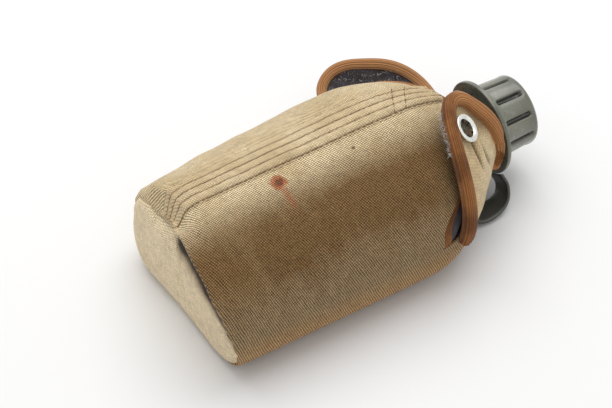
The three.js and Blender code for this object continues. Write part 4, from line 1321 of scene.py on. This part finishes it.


# %% [markdown]
# The two flaps differ only in their face, their creases and their tape. The creases of the near flap are the
# lines along which the flap finish paints shade. The far flap has only a slow wave from lying open, and
# carries the same painted shade on its underside, because both are of one finish.

# %% Both flaps
def near_crease(across, out):
    line = across + CREASE_SHIFT - CREASE_BOW * (CREASE_BOW_AT - out) ** 2
    first = near_bump(line, 0.0, 0.04) * near_bump(out, 0.5, 0.2)
    second = near_bump(line, CREASE_STEP, 0.05) * near_bump(out, 0.36, 0.18)
    puff = 1.2 * near_bump(line, CREASE_STEP / 2, 0.12) * near_bump(out, 0.45, 0.2)
    inner = 1 - near_bump(np.hypot(across, out), 1.0, 0.2)
    wave = 0.6 * ripple(across * FLAP_U, out * FLAP_V, 9.0, 4.0) * inner
    return puff - 1.8 * first - 1.4 * second + wave - 1.4


def far_crease(across, out):
    return 0.7 * ripple(across * FLAP_U, out * 40, 11.0, 9.0)


flap_sheets("near", near_flap_face, NEAR_OUTWARD, "closed_flap", near_crease)
flap_tape("near", near_flap_face, NEAR_OUTWARD, "closed_flap", width=7.8, thick=7.2, stand=1.2)
flap_sheets("far", far_flap_face, FAR_OUTWARD, "open_flap", far_crease)
flap_tape("far", far_flap_face, FAR_OUTWARD, "open_flap", width=6.6, thick=5.6, stand=0.0)

# %% [markdown]
# Wool felt sheds: pale fibres stand out past the tape of the near flap, and grey ones lie on the open flap.
# Hair particles could do it, but every piece here is a plain mesh. So the fibres are thin spikes set
# along hidden lines by Geometry Nodes, each turned, sized and shifted at random with a fixed seed.

# %% Felt fluff
FIBRE_THICK, FLUFF_LIFT = 0.00009, 0.6


def fluff_tree():
    tree, source, result, ids = new_tree("loose_fibre", ["Pitch", "Length", "Thickness", "Spread"])
    spread = source.outputs["Spread"]
    least = tree_node(tree, "ShaderNodeMath", {"operation": "MULTIPLY"}, {0: spread, 1: -1.0})
    shift = tree_node(tree, "FunctionNodeRandomValue", {"data_type": "FLOAT_VECTOR"},
                      {0: least.outputs[0], 1: spread, "Seed": 3})
    loose = tree_node(tree, "GeometryNodeSetPosition", {},
                      {"Geometry": path_steps(tree, source), "Offset": shift.outputs[0]})
    turn = tree_node(tree, "FunctionNodeRandomValue", {"data_type": "FLOAT_VECTOR"},
                     {0: (0, 0, 0), 1: (6.28, 6.28, 6.28), "Seed": 11})
    spike = tree_node(tree, "GeometryNodeMeshCone", {"fill_type": "NGON"},
                      {"Vertices": 4, "Side Segments": 1, "Radius Top": 0.3, "Radius Bottom": 1.0,
                       "Depth": 1.0})
    scale = varied_size(tree, source, 0.5, 1.2, 5)
    fibres = copies_at(tree, loose.outputs[0], spike.outputs[0], turn.outputs[0], scale)
    end_tree(tree, result, fibres, FLUFF)
    return tree, ids


FIBRES, FIBRE_IDS = fluff_tree()


def fluff(name, paths, body, pitch, length, spread):
    sizes = {"Pitch": pitch / 1000, "Length": length / 1000, "Thickness": FIBRE_THICK,
             "Spread": spread / 1000}
    declare(run_tree(name, path_object(paths), FIBRES, FIBRE_IDS, sizes), body, "felt")


edge = np.linspace(0.6, 0.86, 40)
near_line = near_flap_face(-np.sqrt(1 - edge ** 2) - 0.02, edge)
fluff("near_felt_fluff", [near_line], "closed_flap", 0.16, 2.0, 0.8)
across_line = np.linspace(-0.7, 0.7, 30)
far_lines = [far_flap_face(across_line * math.sqrt(1 - out ** 2), out) + np.array([0, 0, FLUFF_LIFT])
             for out in (0.15, 0.3, 0.45, 0.6, 0.72)]
fluff("far_felt_fluff", far_lines, "open_flap", 0.8, 1.8, 0.8)

# %% [markdown]
# A press stud sits on each flap: a bright dished ring, a dark socket in its middle and small prongs folded
# over the socket. Ring and socket are lathed, which is a profile turned round an axis. The prongs repeat
# round the ring, so Geometry Nodes could place them, but six bent tabs are simple enough to turn in a loop
# with the ring's own axes.

# %% Press studs
SNAP_RADIUS, SNAP_HOLE, SNAP_HEIGHT, SNAP_DISH = 8.0, 5.0, 2.0, 0.25
SNAP_FOOT = FLAP_FELT + GAP + CANVAS + 0.35
PRONGS, PRONG_TURN, PRONG_THICK = 6, 0.3, 0.35
PRONG_BEND = ((5.0, 1.2, 0.6), (4.4, 1.35, 0.55), (3.8, 1.0, 0.45), (3.2, 0.65, 0.2))
CUP = ((SNAP_HOLE + 0.2, -0.1), (SNAP_HOLE + 0.2, 0.7), (3.7, 0.6), (3.2, 0.15), (2.2, 0.1), (1.7, 0.45),
       (0.5, 0.5))


def stud_axes(face, outward):
    seat = face(SNAP_ACROSS, SNAP_ALONG)
    up = face_normal(face, np.array(SNAP_ACROSS), np.array(SNAP_ALONG), outward)
    side = direction(face(SNAP_ACROSS + 0.05, SNAP_ALONG) - face(SNAP_ACROSS - 0.05, SNAP_ALONG))
    side = direction(side - up * (side @ up))
    return seat, side, np.cross(up, side), up


def lathe(name, axes, profile, count, material, looped):
    seat, side, third, up = axes
    a = np.linspace(0, 2 * math.pi, count, endpoint=False)
    spin = side[None] * np.cos(a)[:, None] + third[None] * np.sin(a)[:, None]
    rings = [seat + up * h + spin * r for r, h in profile]
    return tube(name, rings, material, None, looped)


def stud_prongs(name, axes):
    """Bent tabs round the socket; PRONG_BEND gives reach, height and half width along a tab."""
    seat, across, third, up = axes
    points, faces = [], []
    for k in range(PRONGS):
        t = k * math.pi / (PRONGS / 2) + PRONG_TURN
        out = across * math.cos(t) + third * math.sin(t)
        wide = np.cross(up, out)
        start = len(points)
        for r, h, w in PRONG_BEND:
            for sign, deep in ((-1, 0), (1, 0), (1, PRONG_THICK), (-1, PRONG_THICK)):
                points.append(seat + out * r + up * (SNAP_FOOT + h - deep) + wide * w * sign)
        for j in range(len(PRONG_BEND) - 1):
            for m in range(4):
                n = (m + 1) % 4
                b = start + 4 * j
                faces.append((b + m, b + n, b + 4 + n, b + 4 + m))
        faces += [(start + 3, start + 2, start + 1, start), tuple(start + 12 + m for m in range(4))]
    return make_piece(name, np.array(points), faces, TARNISH)


def press_stud(side, face, outward, body):
    axes = stud_axes(face, outward)
    mid, half = (SNAP_HOLE + SNAP_RADIUS) / 2, (SNAP_RADIUS - SNAP_HOLE) / 2
    rise = SNAP_HEIGHT / 2
    profile = [(mid + half * math.cos(t), SNAP_FOOT + rise + rise * math.sin(t) + SNAP_DISH * math.cos(t))
               for t in np.linspace(0, 2 * math.pi, 28, endpoint=False)]
    cup = [(r, SNAP_FOOT + h) for r, h in CUP]
    ring = lathe(f"{side}_stud_ring", axes, profile, 72, PLATE, True)
    socket = lathe(f"{side}_stud_socket", axes, cup, 48, TARNISH, False)
    prongs = stud_prongs(f"{side}_stud_prongs", axes)
    declare(ring, body, "plated_metal", f"{side}_snap_ring")
    declare(socket, body, "dark_brass", f"{side}_snap_socket")
    declare(prongs, body, "dark_brass")


press_stud("near", near_flap_face, NEAR_OUTWARD, "closed_flap")
press_stud("far", far_flap_face, FAR_OUTWARD, "open_flap")

# %% [markdown]
# The bottle is nearly hidden: its shoulder and neck show in the mouth. It is a smooth hollow shell with a
# plain neck under the cap. One skin runs up the outside, over the neck's end and down the bore to the inside,
# so that the shell has a real wall.

# %% Bottle
BOTTLE_DEPTH = CANVAS + GAP + FELT + 2 * GAP
BOTTLE_WALL = 1.9
NECK_RADIUS, NECK_BORE, NECK_FOOT = 17.0, 14.0, 172.5
CAP_TOP_THICK, GASKET_THICK = 2.4, 1.6
NECK_END = CAP_END - CAP_TOP_THICK - GASKET_THICK - 2 * GAP
SHOULDER_SLACK = 1.6


def bottle_shell():
    w = np.arange(96) / 96 * 2

    def ring(x, wall):
        loose = SHOULDER_SLACK * unit((x - SHOULDER_START) / 12)
        return layer(x + 0 * w, round_angle(w), BOTTLE_DEPTH + loose + wall + 0 * w)

    def circle(x, r):
        t = w * math.pi
        return np.stack([x + 0 * w, r * np.cos(t), AXIS_HEIGHT + r * np.sin(t)], -1)

    body = mix(1.5, SHOULDER_START, np.linspace(0, 1, 18) ** 2)
    xs = np.concatenate([body, np.linspace(SHOULDER_START, NECK_SEAT - 4, 22)[1:]])
    outer = [ring(x, 0.0) for x in xs]
    join = [mix(outer[-1], circle(NECK_FOOT, NECK_RADIUS), s) for s in (0.3, 0.6, 0.85)]
    neck = [circle(x, NECK_RADIUS) for x in np.linspace(NECK_FOOT, NECK_END, 8)]
    bore = [circle(x, NECK_BORE) for x in (NECK_END, NECK_FOOT - BOTTLE_WALL)]
    inner = [ring(x, BOTTLE_WALL) for x in xs[3:-1]][::-1]
    return tube("bottle_shell", outer + join + neck + bore + inner, BOTTLE_PLASTIC)


declare(bottle_shell(), "carrier", "plastic", "bottle", "bottle_neck")

# %% [markdown]
# The cap is turned and then grooved: broad grip lobes with narrow slots between them, a rounded crown and a
# plain skirt. A lathe profile with the slot depth as a third number gives all of that in one skin.

# %% Cap
CAP_START, CAP_RADIUS, CAP_TAPER, CAP_GROOVES = 186.0, 21.0, 0.8, 10
SLOT_DEPTH, SLOT_HALF, LOBE_CROWN, CAP_ROUND, THREAD_GAP = 1.9, 0.09, 0.9, 2.6, 0.8


def neck_axes(drop=0.0):
    return (np.array([0.0, 0.0, AXIS_HEIGHT - drop]), np.array([0.0, 1, 0]), np.array([0.0, 0, 1]),
            np.array([1.0, 0, 0]))


def grip_slot(t):
    """Depth below the cap's round: a narrow slot between crowned lobes."""
    phase = np.abs((t / (2 * math.pi) * CAP_GROOVES + 0.5) % 1 - 0.5)
    return SLOT_DEPTH * ease((SLOT_HALF + 0.06 - phase) / 0.1) + LOBE_CROWN * (1 - phase / 0.5) ** 2


def cap_skin():
    t = np.linspace(0, 2 * math.pi, 480, endpoint=False)
    tip = CAP_RADIUS - CAP_TAPER
    inner = NECK_RADIUS + THREAD_GAP
    bend = np.linspace(0, math.pi / 2, 7)
    crown = [(CAP_END - CAP_ROUND * (1 - math.sin(b)), tip - CAP_ROUND * (1 - math.cos(b)), 0) for b in bend]
    top, dish = CAP_END - CAP_TOP_THICK, tip - CAP_ROUND
    profile = [(top, inner * 0.3, 0), (top, inner, 0), (CAP_START + 0.4, inner, 0),
               (CAP_START, inner + 0.4, 0), (CAP_START, CAP_RADIUS - 0.2, 0),
               (CAP_START + 0.4, CAP_RADIUS + 0.25, 0), (CAP_START + 2.0, CAP_RADIUS + 0.25, 0),
               (CAP_START + 2.6, CAP_RADIUS, 0.0), (CAP_START + 3.4, CAP_RADIUS, 0.75),
               (CAP_START + 4.4, CAP_RADIUS, 1), (CAP_END - 6.0, tip + 0.15, 1),
               (CAP_END - 4.9, tip + 0.1, 0.85), (CAP_END - 4.0, tip + 0.1, 0.45),
               (CAP_END - 3.3, tip + 0.05, 0.1)]
    profile += crown
    profile += [(CAP_END, dish - 1.2, 0.0), (CAP_END, dish - 2.0, 0), (CAP_END - 0.7, dish - 2.6, 0),
                (CAP_END - 0.7, 6.0, 0), (CAP_END - 0.4, 1.0, 0)]
    seat = np.array([0.0, 0.0, AXIS_HEIGHT])
    rings = []
    for x, r, depth in profile:
        rr = r - grip_slot(t) * depth
        rings.append(seat + np.stack([x + 0 * t, rr * np.cos(t), rr * np.sin(t)], -1))
    return tube("cap_shell", rings, CAP_PLASTIC)


declare(cap_skin(), "screw_cap", "plastic", "cap")

# %% [markdown]
# Three rings sit round the neck axis: a rubber seal inside the cap, the strap's ring under the cap, and a
# loose collar at the neck's foot. All are washers with softened corners, so one lathe profile with four
# quarter rounds makes them. The strap's ring hangs a little low, as a loose ring does.

# %% Gasket, ring and collar
def rounded_washer(name, x0, x1, r0, r1, soft, axes, material):
    corners = [(r0, x0, -1, -1), (r1, x0, 1, -1), (r1, x1, 1, 1), (r0, x1, -1, 1)]
    profile = []
    for k, (r, x, sr, sx) in enumerate(corners):
        for b in np.linspace(0, math.pi / 2, 5):
            turn = b + math.pi + k * math.pi / 2
            profile.append((r - sr * soft + soft * math.cos(turn), x - sx * soft + soft * math.sin(turn)))
    return lathe(name, axes, profile, 128, material, True)


RING_RADIUS, RING_THICK, RING_DROP = 27.0, 2.6, 1.5
COLLAR_RADIUS, COLLAR_THICK, COLLAR_START = 23.0, 3.0, 175.5
ring_end = CAP_START - GAP
ring_start = ring_end - RING_THICK
gasket = rounded_washer("gasket_washer", NECK_END + GAP, NECK_END + GAP + GASKET_THICK, NECK_BORE - 1,
                        NECK_RADIUS + THREAD_GAP - GAP, 0.3, neck_axes(), GASKET)
strap_ring = rounded_washer("strap_ring_washer", ring_start, ring_end, NECK_RADIUS + RING_DROP + GAP,
                            RING_RADIUS, 0.8, neck_axes(RING_DROP), CAP_PLASTIC)
collar = rounded_washer("neck_collar_washer", COLLAR_START, COLLAR_START + COLLAR_THICK, NECK_RADIUS + GAP,
                        COLLAR_RADIUS, 0.8, neck_axes(), STRAP_PLASTIC)
declare(gasket, "screw_cap", "gasket_rubber", "cap_gasket")
declare(strap_ring, "strap_ring", "plastic", "cap_ring")
declare(collar, "carrier", "plastic", "neck_collar")

# %% [markdown]
# The strap is one bent band from the ring under the cap back to the collar on the neck. When the cap is
# unscrewed the ring rises and the collar stays; the band here is baked in place and joins neither body. Its
# way is a smooth curve through a few knots round the neck axis: place along x from the cap's foot, distance
# from the axis, angle of the place and angle that the band's flat side faces.

# %% Cap strap
STRAP_WIDTH, STRAP_THICK, STRAP_POINTS, STRAP_END_SHARE = 13.0, 2.4, 110, 0.12
STRAP_WAY = [
    (-1.6, 29.4, 235, 235), (-0.9, 35.0, 232, 240), (-4.6, 41.2, 230, 252), (-12.5, 44.4, 229, 266),
    (-22.5, 44.6, 229, 270), (-27.2, 40.4, 230, 262), (-24.6, 33.4, 232, 248), (-17.5, 27.8, 234, 237),
    (-9.2, 24.2, 235, 235),
]


def round_neck(degrees):
    turn = np.radians(degrees)
    return np.stack([0 * turn, np.cos(turn), np.sin(turn)], -1)


def through(knots, count):
    """Smooth curve through evenly timed knots (Catmull-Rom)."""
    knots = np.asarray(knots, float)
    padded = np.concatenate([[2 * knots[0] - knots[1]], knots, [2 * knots[-1] - knots[-2]]])
    t = np.linspace(0, len(knots) - 1, count)
    i = np.minimum(t.astype(int), len(knots) - 2)
    f = (t - i)[:, None]
    a, b, c, d = padded[i], padded[i + 1], padded[i + 2], padded[i + 3]
    square, cube = a - 2.5 * b + 2 * c - d / 2, 1.5 * (b - c) + (d - a) / 2
    return b + f * (c - a) / 2 + f ** 2 * square + f ** 3 * cube


def strap_skin():
    way = np.array(STRAP_WAY)
    knots = round_neck(way[:, 2]) * way[:, 1:2] + np.array([CAP_START, 0, AXIS_HEIGHT])
    knots[:, 0] += way[:, 0]
    path = through(knots, STRAP_POINTS)
    facing = round_neck(through(way[:, 3:4], STRAP_POINTS)[:, 0])
    wide = np.cross([1.0, 0, 0], facing)
    thick = direction(np.cross(np.gradient(path, axis=0), wide))
    a = np.linspace(0, 2 * math.pi, 40, endpoint=False)
    across = signed_power(np.cos(a), 0.35) * STRAP_WIDTH / 2
    deep = signed_power(np.sin(a), 0.55) * STRAP_THICK / 2
    bend = (1 - np.sqrt(1 - (across / RING_RADIUS) ** 2)) * RING_RADIUS
    u = np.linspace(0, 1, len(path))
    ends = np.maximum(0, 1 - np.minimum(u, 1 - u) / STRAP_END_SHARE)
    rings = path[:, None] + wide[:, None] * across[None, :, None] + thick[:, None] * deep[None, :, None]
    rings -= facing[:, None] * (bend[None] * ends[:, None])[..., None]
    return tube("strap_loop", rings, STRAP_PLASTIC)


strap = strap_skin()
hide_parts("strap_band")
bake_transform(strap)

# %% [markdown]
# The lower half of the near stud waits on the canvas under the flap, as a small domed post. It is lathed on
# an axis that stands square to the carrier's face, at the place where the flap's own stud comes to rest.

# %% Stud post
POST = [(5.0, -0.5), (5.0, 0.3), (4.2, 0.55), (2.6, 0.6), (2.4, 1.1), (2.6, 1.35), (1.4, 1.6), (0.3, 1.62)]


def stud_post():
    x = mix(FLAP_ROOT_X, FLAP_TIP_X, SNAP_ALONG)
    x += SNAP_ACROSS * mix(FLAP_ROOT_HALF, FLAP_TIP_HALF, SNAP_ALONG)
    t = round_angle(0.5 + mix(FLAP_ROOT_TURN, FLAP_TIP_TURN, SNAP_ALONG) / 2)
    seat = layer(np.array(x), t, np.array(-GAP))
    up = carrier_normal(np.array(x), t)
    side = direction(np.array([1.0, 0, 0]) - up * up[0])
    axes = (seat, side, np.cross(up, side), up)
    return lathe("near_stud_post", axes, POST, 40, PLATE, False)


declare(stud_post(), "carrier", "plated_metal", "near_stud")

# %% [markdown]
# On the back a band of webbing is sewn into the hollow, and its end turns round the bar of a wire hook. The
# webbing is a slab with fine ribs on the back's own face, and the keeper is a roll of the same web round the
# bar, open in the middle so that the wire can turn in it.

# %% Webbing and keeper
WEB_WIDTH, WEB_THICK, WEB_START, WEB_END = 38.0, 1.4, 62.0, 104.0
HOOK_X, HOOK_HALF_WIDTH, HOOK_LENGTH, HOOK_RETURN, HOOK_BEND = 108.0, 24.0, 34.0, 12.0, 4.0
WIRE_RADIUS, KEEPER_WALL, KEEPER_WIDTH = 1.5, 1.1, 34.0
WEB_RIB, WEB_RIB_HEIGHT, KEEPER_RIB_HEIGHT = 2.4, 0.12, 0.08
BACK_MM = float(BACK_TABLE[2])
HOLLOW_FLOOR = float(carrier_face(HOOK_X, 1.5 * math.pi)[2])
BAR_HEIGHT = HOLLOW_FLOOR - GAP - WIRE_RADIUS - GAP - KEEPER_WALL


def web_patch():
    half = 0.5 * WEB_WIDTH / BACK_MM
    w = np.linspace(1.5 - half, 1.5 + half, 50)[None, :]
    x = np.linspace(WEB_START, WEB_END, 50)[:, None]
    ribs = WEB_RIB_HEIGHT * np.cos(w * BACK_MM * 2 * math.pi / WEB_RIB)
    t = round_angle(w + 0 * x)
    outer = layer(x + 0 * w, t, -GAP - WEB_THICK - ribs + 0 * x)
    inner = layer(x + 0 * w, t, 0.1 + 0 * x + 0 * w)
    uv = np.stack(np.broadcast_arrays(x, w * 140), -1)
    return slab("hanger_webbing", outer, inner, KHAKI_FLAP, uv)


def keeper_roll():
    y = np.linspace(-KEEPER_WIDTH / 2, KEEPER_WIDTH / 2, 30)
    a = np.linspace(0, 2 * math.pi, 36, endpoint=False)
    bore = WIRE_RADIUS + GAP
    ribs = KEEPER_RIB_HEIGHT * np.cos(y * 2 * math.pi / WEB_RIB)
    ways = list(zip(y, bore + KEEPER_WALL + ribs)) + [(side, bore) for side in y[::-1]]
    rings = [np.stack([HOOK_X + r * np.cos(a), side + 0 * a, BAR_HEIGHT + r * np.sin(a)], -1)
             for side, r in ways]
    uv = np.stack(np.broadcast_arrays(np.arange(len(ways))[:, None] * 1.0, a[None] * 2.9), -1)
    return tube("hook_keeper_roll", rings, KHAKI_FLAP, uv, True)


declare_cloth(web_patch(), "carrier", "hanger_web")
declare(keeper_roll(), "carrier", "canvas", "hook_keeper")

# %% [markdown]
# The hook is one bent wire: a bar in the keeper, two arms and two ends turned back. A wire is a path with a
# round section, which Geometry Nodes sweep in one step from a named radius.

# %% Wire hook
def wire_tree():
    tree, source, result, ids = new_tree("bent_wire", ["Radius"])
    ring = tree_node(tree, "GeometryNodeCurvePrimitiveCircle", {},
                     {"Resolution": 20, "Radius": source.outputs["Radius"]})
    skin = tree_node(tree, "GeometryNodeCurveToMesh", {},
                     {"Curve": source.outputs["Geometry"], "Profile Curve": ring.outputs[0],
                      "Fill Caps": True})
    end_tree(tree, result, skin.outputs[0], BLACK_WIRE)
    return tree, ids


def wire_path():
    end = HOOK_X + HOOK_LENGTH
    arm = HOOK_HALF_WIDTH - HOOK_BEND

    def arc(cx, cy, a0, a1, count):
        t = np.radians(np.linspace(a0, a1, count))
        return [(cx + HOOK_BEND * math.cos(b), cy + HOOK_BEND * math.sin(b)) for b in t]

    half = [(end - HOOK_RETURN, arm - HOOK_BEND)] + arc(end - HOOK_BEND, arm, -90, 90, 19)
    half += arc(HOOK_X + HOOK_BEND, arm, 90, 180, 10)
    line = half + [(x, -y) for x, y in half[::-1]]
    return np.array([(x, y, BAR_HEIGHT) for x, y in line])


WIRE, WIRE_IDS = wire_tree()
hook = run_tree("belt_hook_wire", path_object([wire_path()]), WIRE, WIRE_IDS, {"Radius": WIRE_RADIUS / 1000})
hook.data.polygons.foreach_set("use_smooth", np.ones(len(hook.data.polygons), bool))
declare(hook, "hook", "dark_wire", "belt_hook")

# %% [markdown]
# The photograph has a white background with a soft shadow on a pale floor, and broad light from above and
# behind. A large floor, one big soft panel and a white world give that. The world is full white where the
# camera or a shiny surface looks at it and weaker as a light, so that the background stays white while the
# shadows keep their depth.

# %% Floor and light
FLOOR_HALF, FLOOR_GREY, AMBIENT = 6.0, 0.86, 0.66
PANEL_PLACE, PANEL_SIZE, PANEL_POWER = (0.3, 0.6, 1.7), 2.2, 25


def pale_floor():
    finish = Finish("pale_floor", Roughness=1.0, Base_Color=(FLOOR_GREY, FLOOR_GREY, FLOOR_GREY, 1),
                    Specular_IOR_Level=0.0)
    mesh = bpy.data.meshes.new("floor")
    corners = [(x * FLOOR_HALF, y * FLOOR_HALF, 0) for x, y in ((-1, -1), (1, -1), (1, 1), (-1, 1))]
    mesh.from_pydata(corners, [], [(0, 1, 2, 3)])
    mesh.materials.append(finish.material)
    add_object("floor", mesh)


def soft_panel(place, size, power):
    data = bpy.data.lights.new("panel", "AREA")
    data.shape, data.size, data.energy = "DISK", size, power
    lamp = add_object("panel", data)
    lamp.location = place
    lamp.rotation_euler = (-Vector(place)).to_track_quat("-Z", "Y").to_euler()


def white_world():
    world = bpy.data.worlds.new("studio")
    bpy.context.scene.world = world
    world.use_nodes = True
    sky = world.node_tree
    background = sky.nodes["Background"]
    background.inputs["Color"].default_value = (1, 1, 1, 1)
    ray = tree_node(sky, "ShaderNodeLightPath")
    seen = ray.outputs["Is Camera Ray"]
    for kind in ("Is Glossy Ray", "Is Transmission Ray"):
        seen = tree_node(sky, "ShaderNodeMath", {"operation": "MAXIMUM"},
                         {0: seen, 1: ray.outputs[kind]}).outputs[0]
    level = tree_node(sky, "ShaderNodeMath", {"operation": "MULTIPLY_ADD"},
                      {0: seen, 1: 1 - AMBIENT, 2: AMBIENT})
    sky.links.new(level.outputs[0], background.inputs["Strength"])


pale_floor()
white_world()
soft_panel(PANEL_PLACE, PANEL_SIZE, PANEL_POWER)
bpy.context.scene.view_settings.view_transform = "Standard"
print("panel of", PANEL_POWER, "W at", PANEL_PLACE, "m")

# %% [markdown]
# The edges of the canteen stay nearly parallel in the photograph, so the camera stands far away with a long
# lens. It turns round one aimed point of the canteen, and is then moved sideways until that point falls on
# its own pixel, which keeps the direction of view apart from the framing.

# %% Camera
IMAGE_WIDTH, IMAGE_HEIGHT, SENSOR = 612, 408, 36.0
FOCAL_PX, DISTANCE = 2400.0, 1.275
AZIMUTH, ELEVATION = math.radians(-32.4), math.radians(46.8)
AIM = to_frame([100.0, 0.0, 35.0])
AIM_PIXEL = (351.0, 188.0)
flat = math.cos(ELEVATION)
back = Vector((math.sin(AZIMUTH) * flat, -math.cos(AZIMUTH) * flat, math.sin(ELEVATION)))
right = Vector((math.cos(AZIMUTH), math.sin(AZIMUTH), 0))
up = back.cross(right)
metres_per_px = DISTANCE / FOCAL_PX
place = Vector(AIM) + back * DISTANCE
place -= right * (AIM_PIXEL[0] - IMAGE_WIDTH / 2) * metres_per_px
place += up * (AIM_PIXEL[1] - IMAGE_HEIGHT / 2) * metres_per_px
lens = bpy.data.cameras.new("photo_lens")
lens.sensor_width = SENSOR
lens.lens = FOCAL_PX / IMAGE_WIDTH * SENSOR
camera = add_object("photo_camera", lens)
camera.matrix_world = Matrix((right, up, back)).transposed().to_4x4()
camera.location = place
bpy.context.scene.camera = camera
print("camera at", [round(c, 3) for c in place])
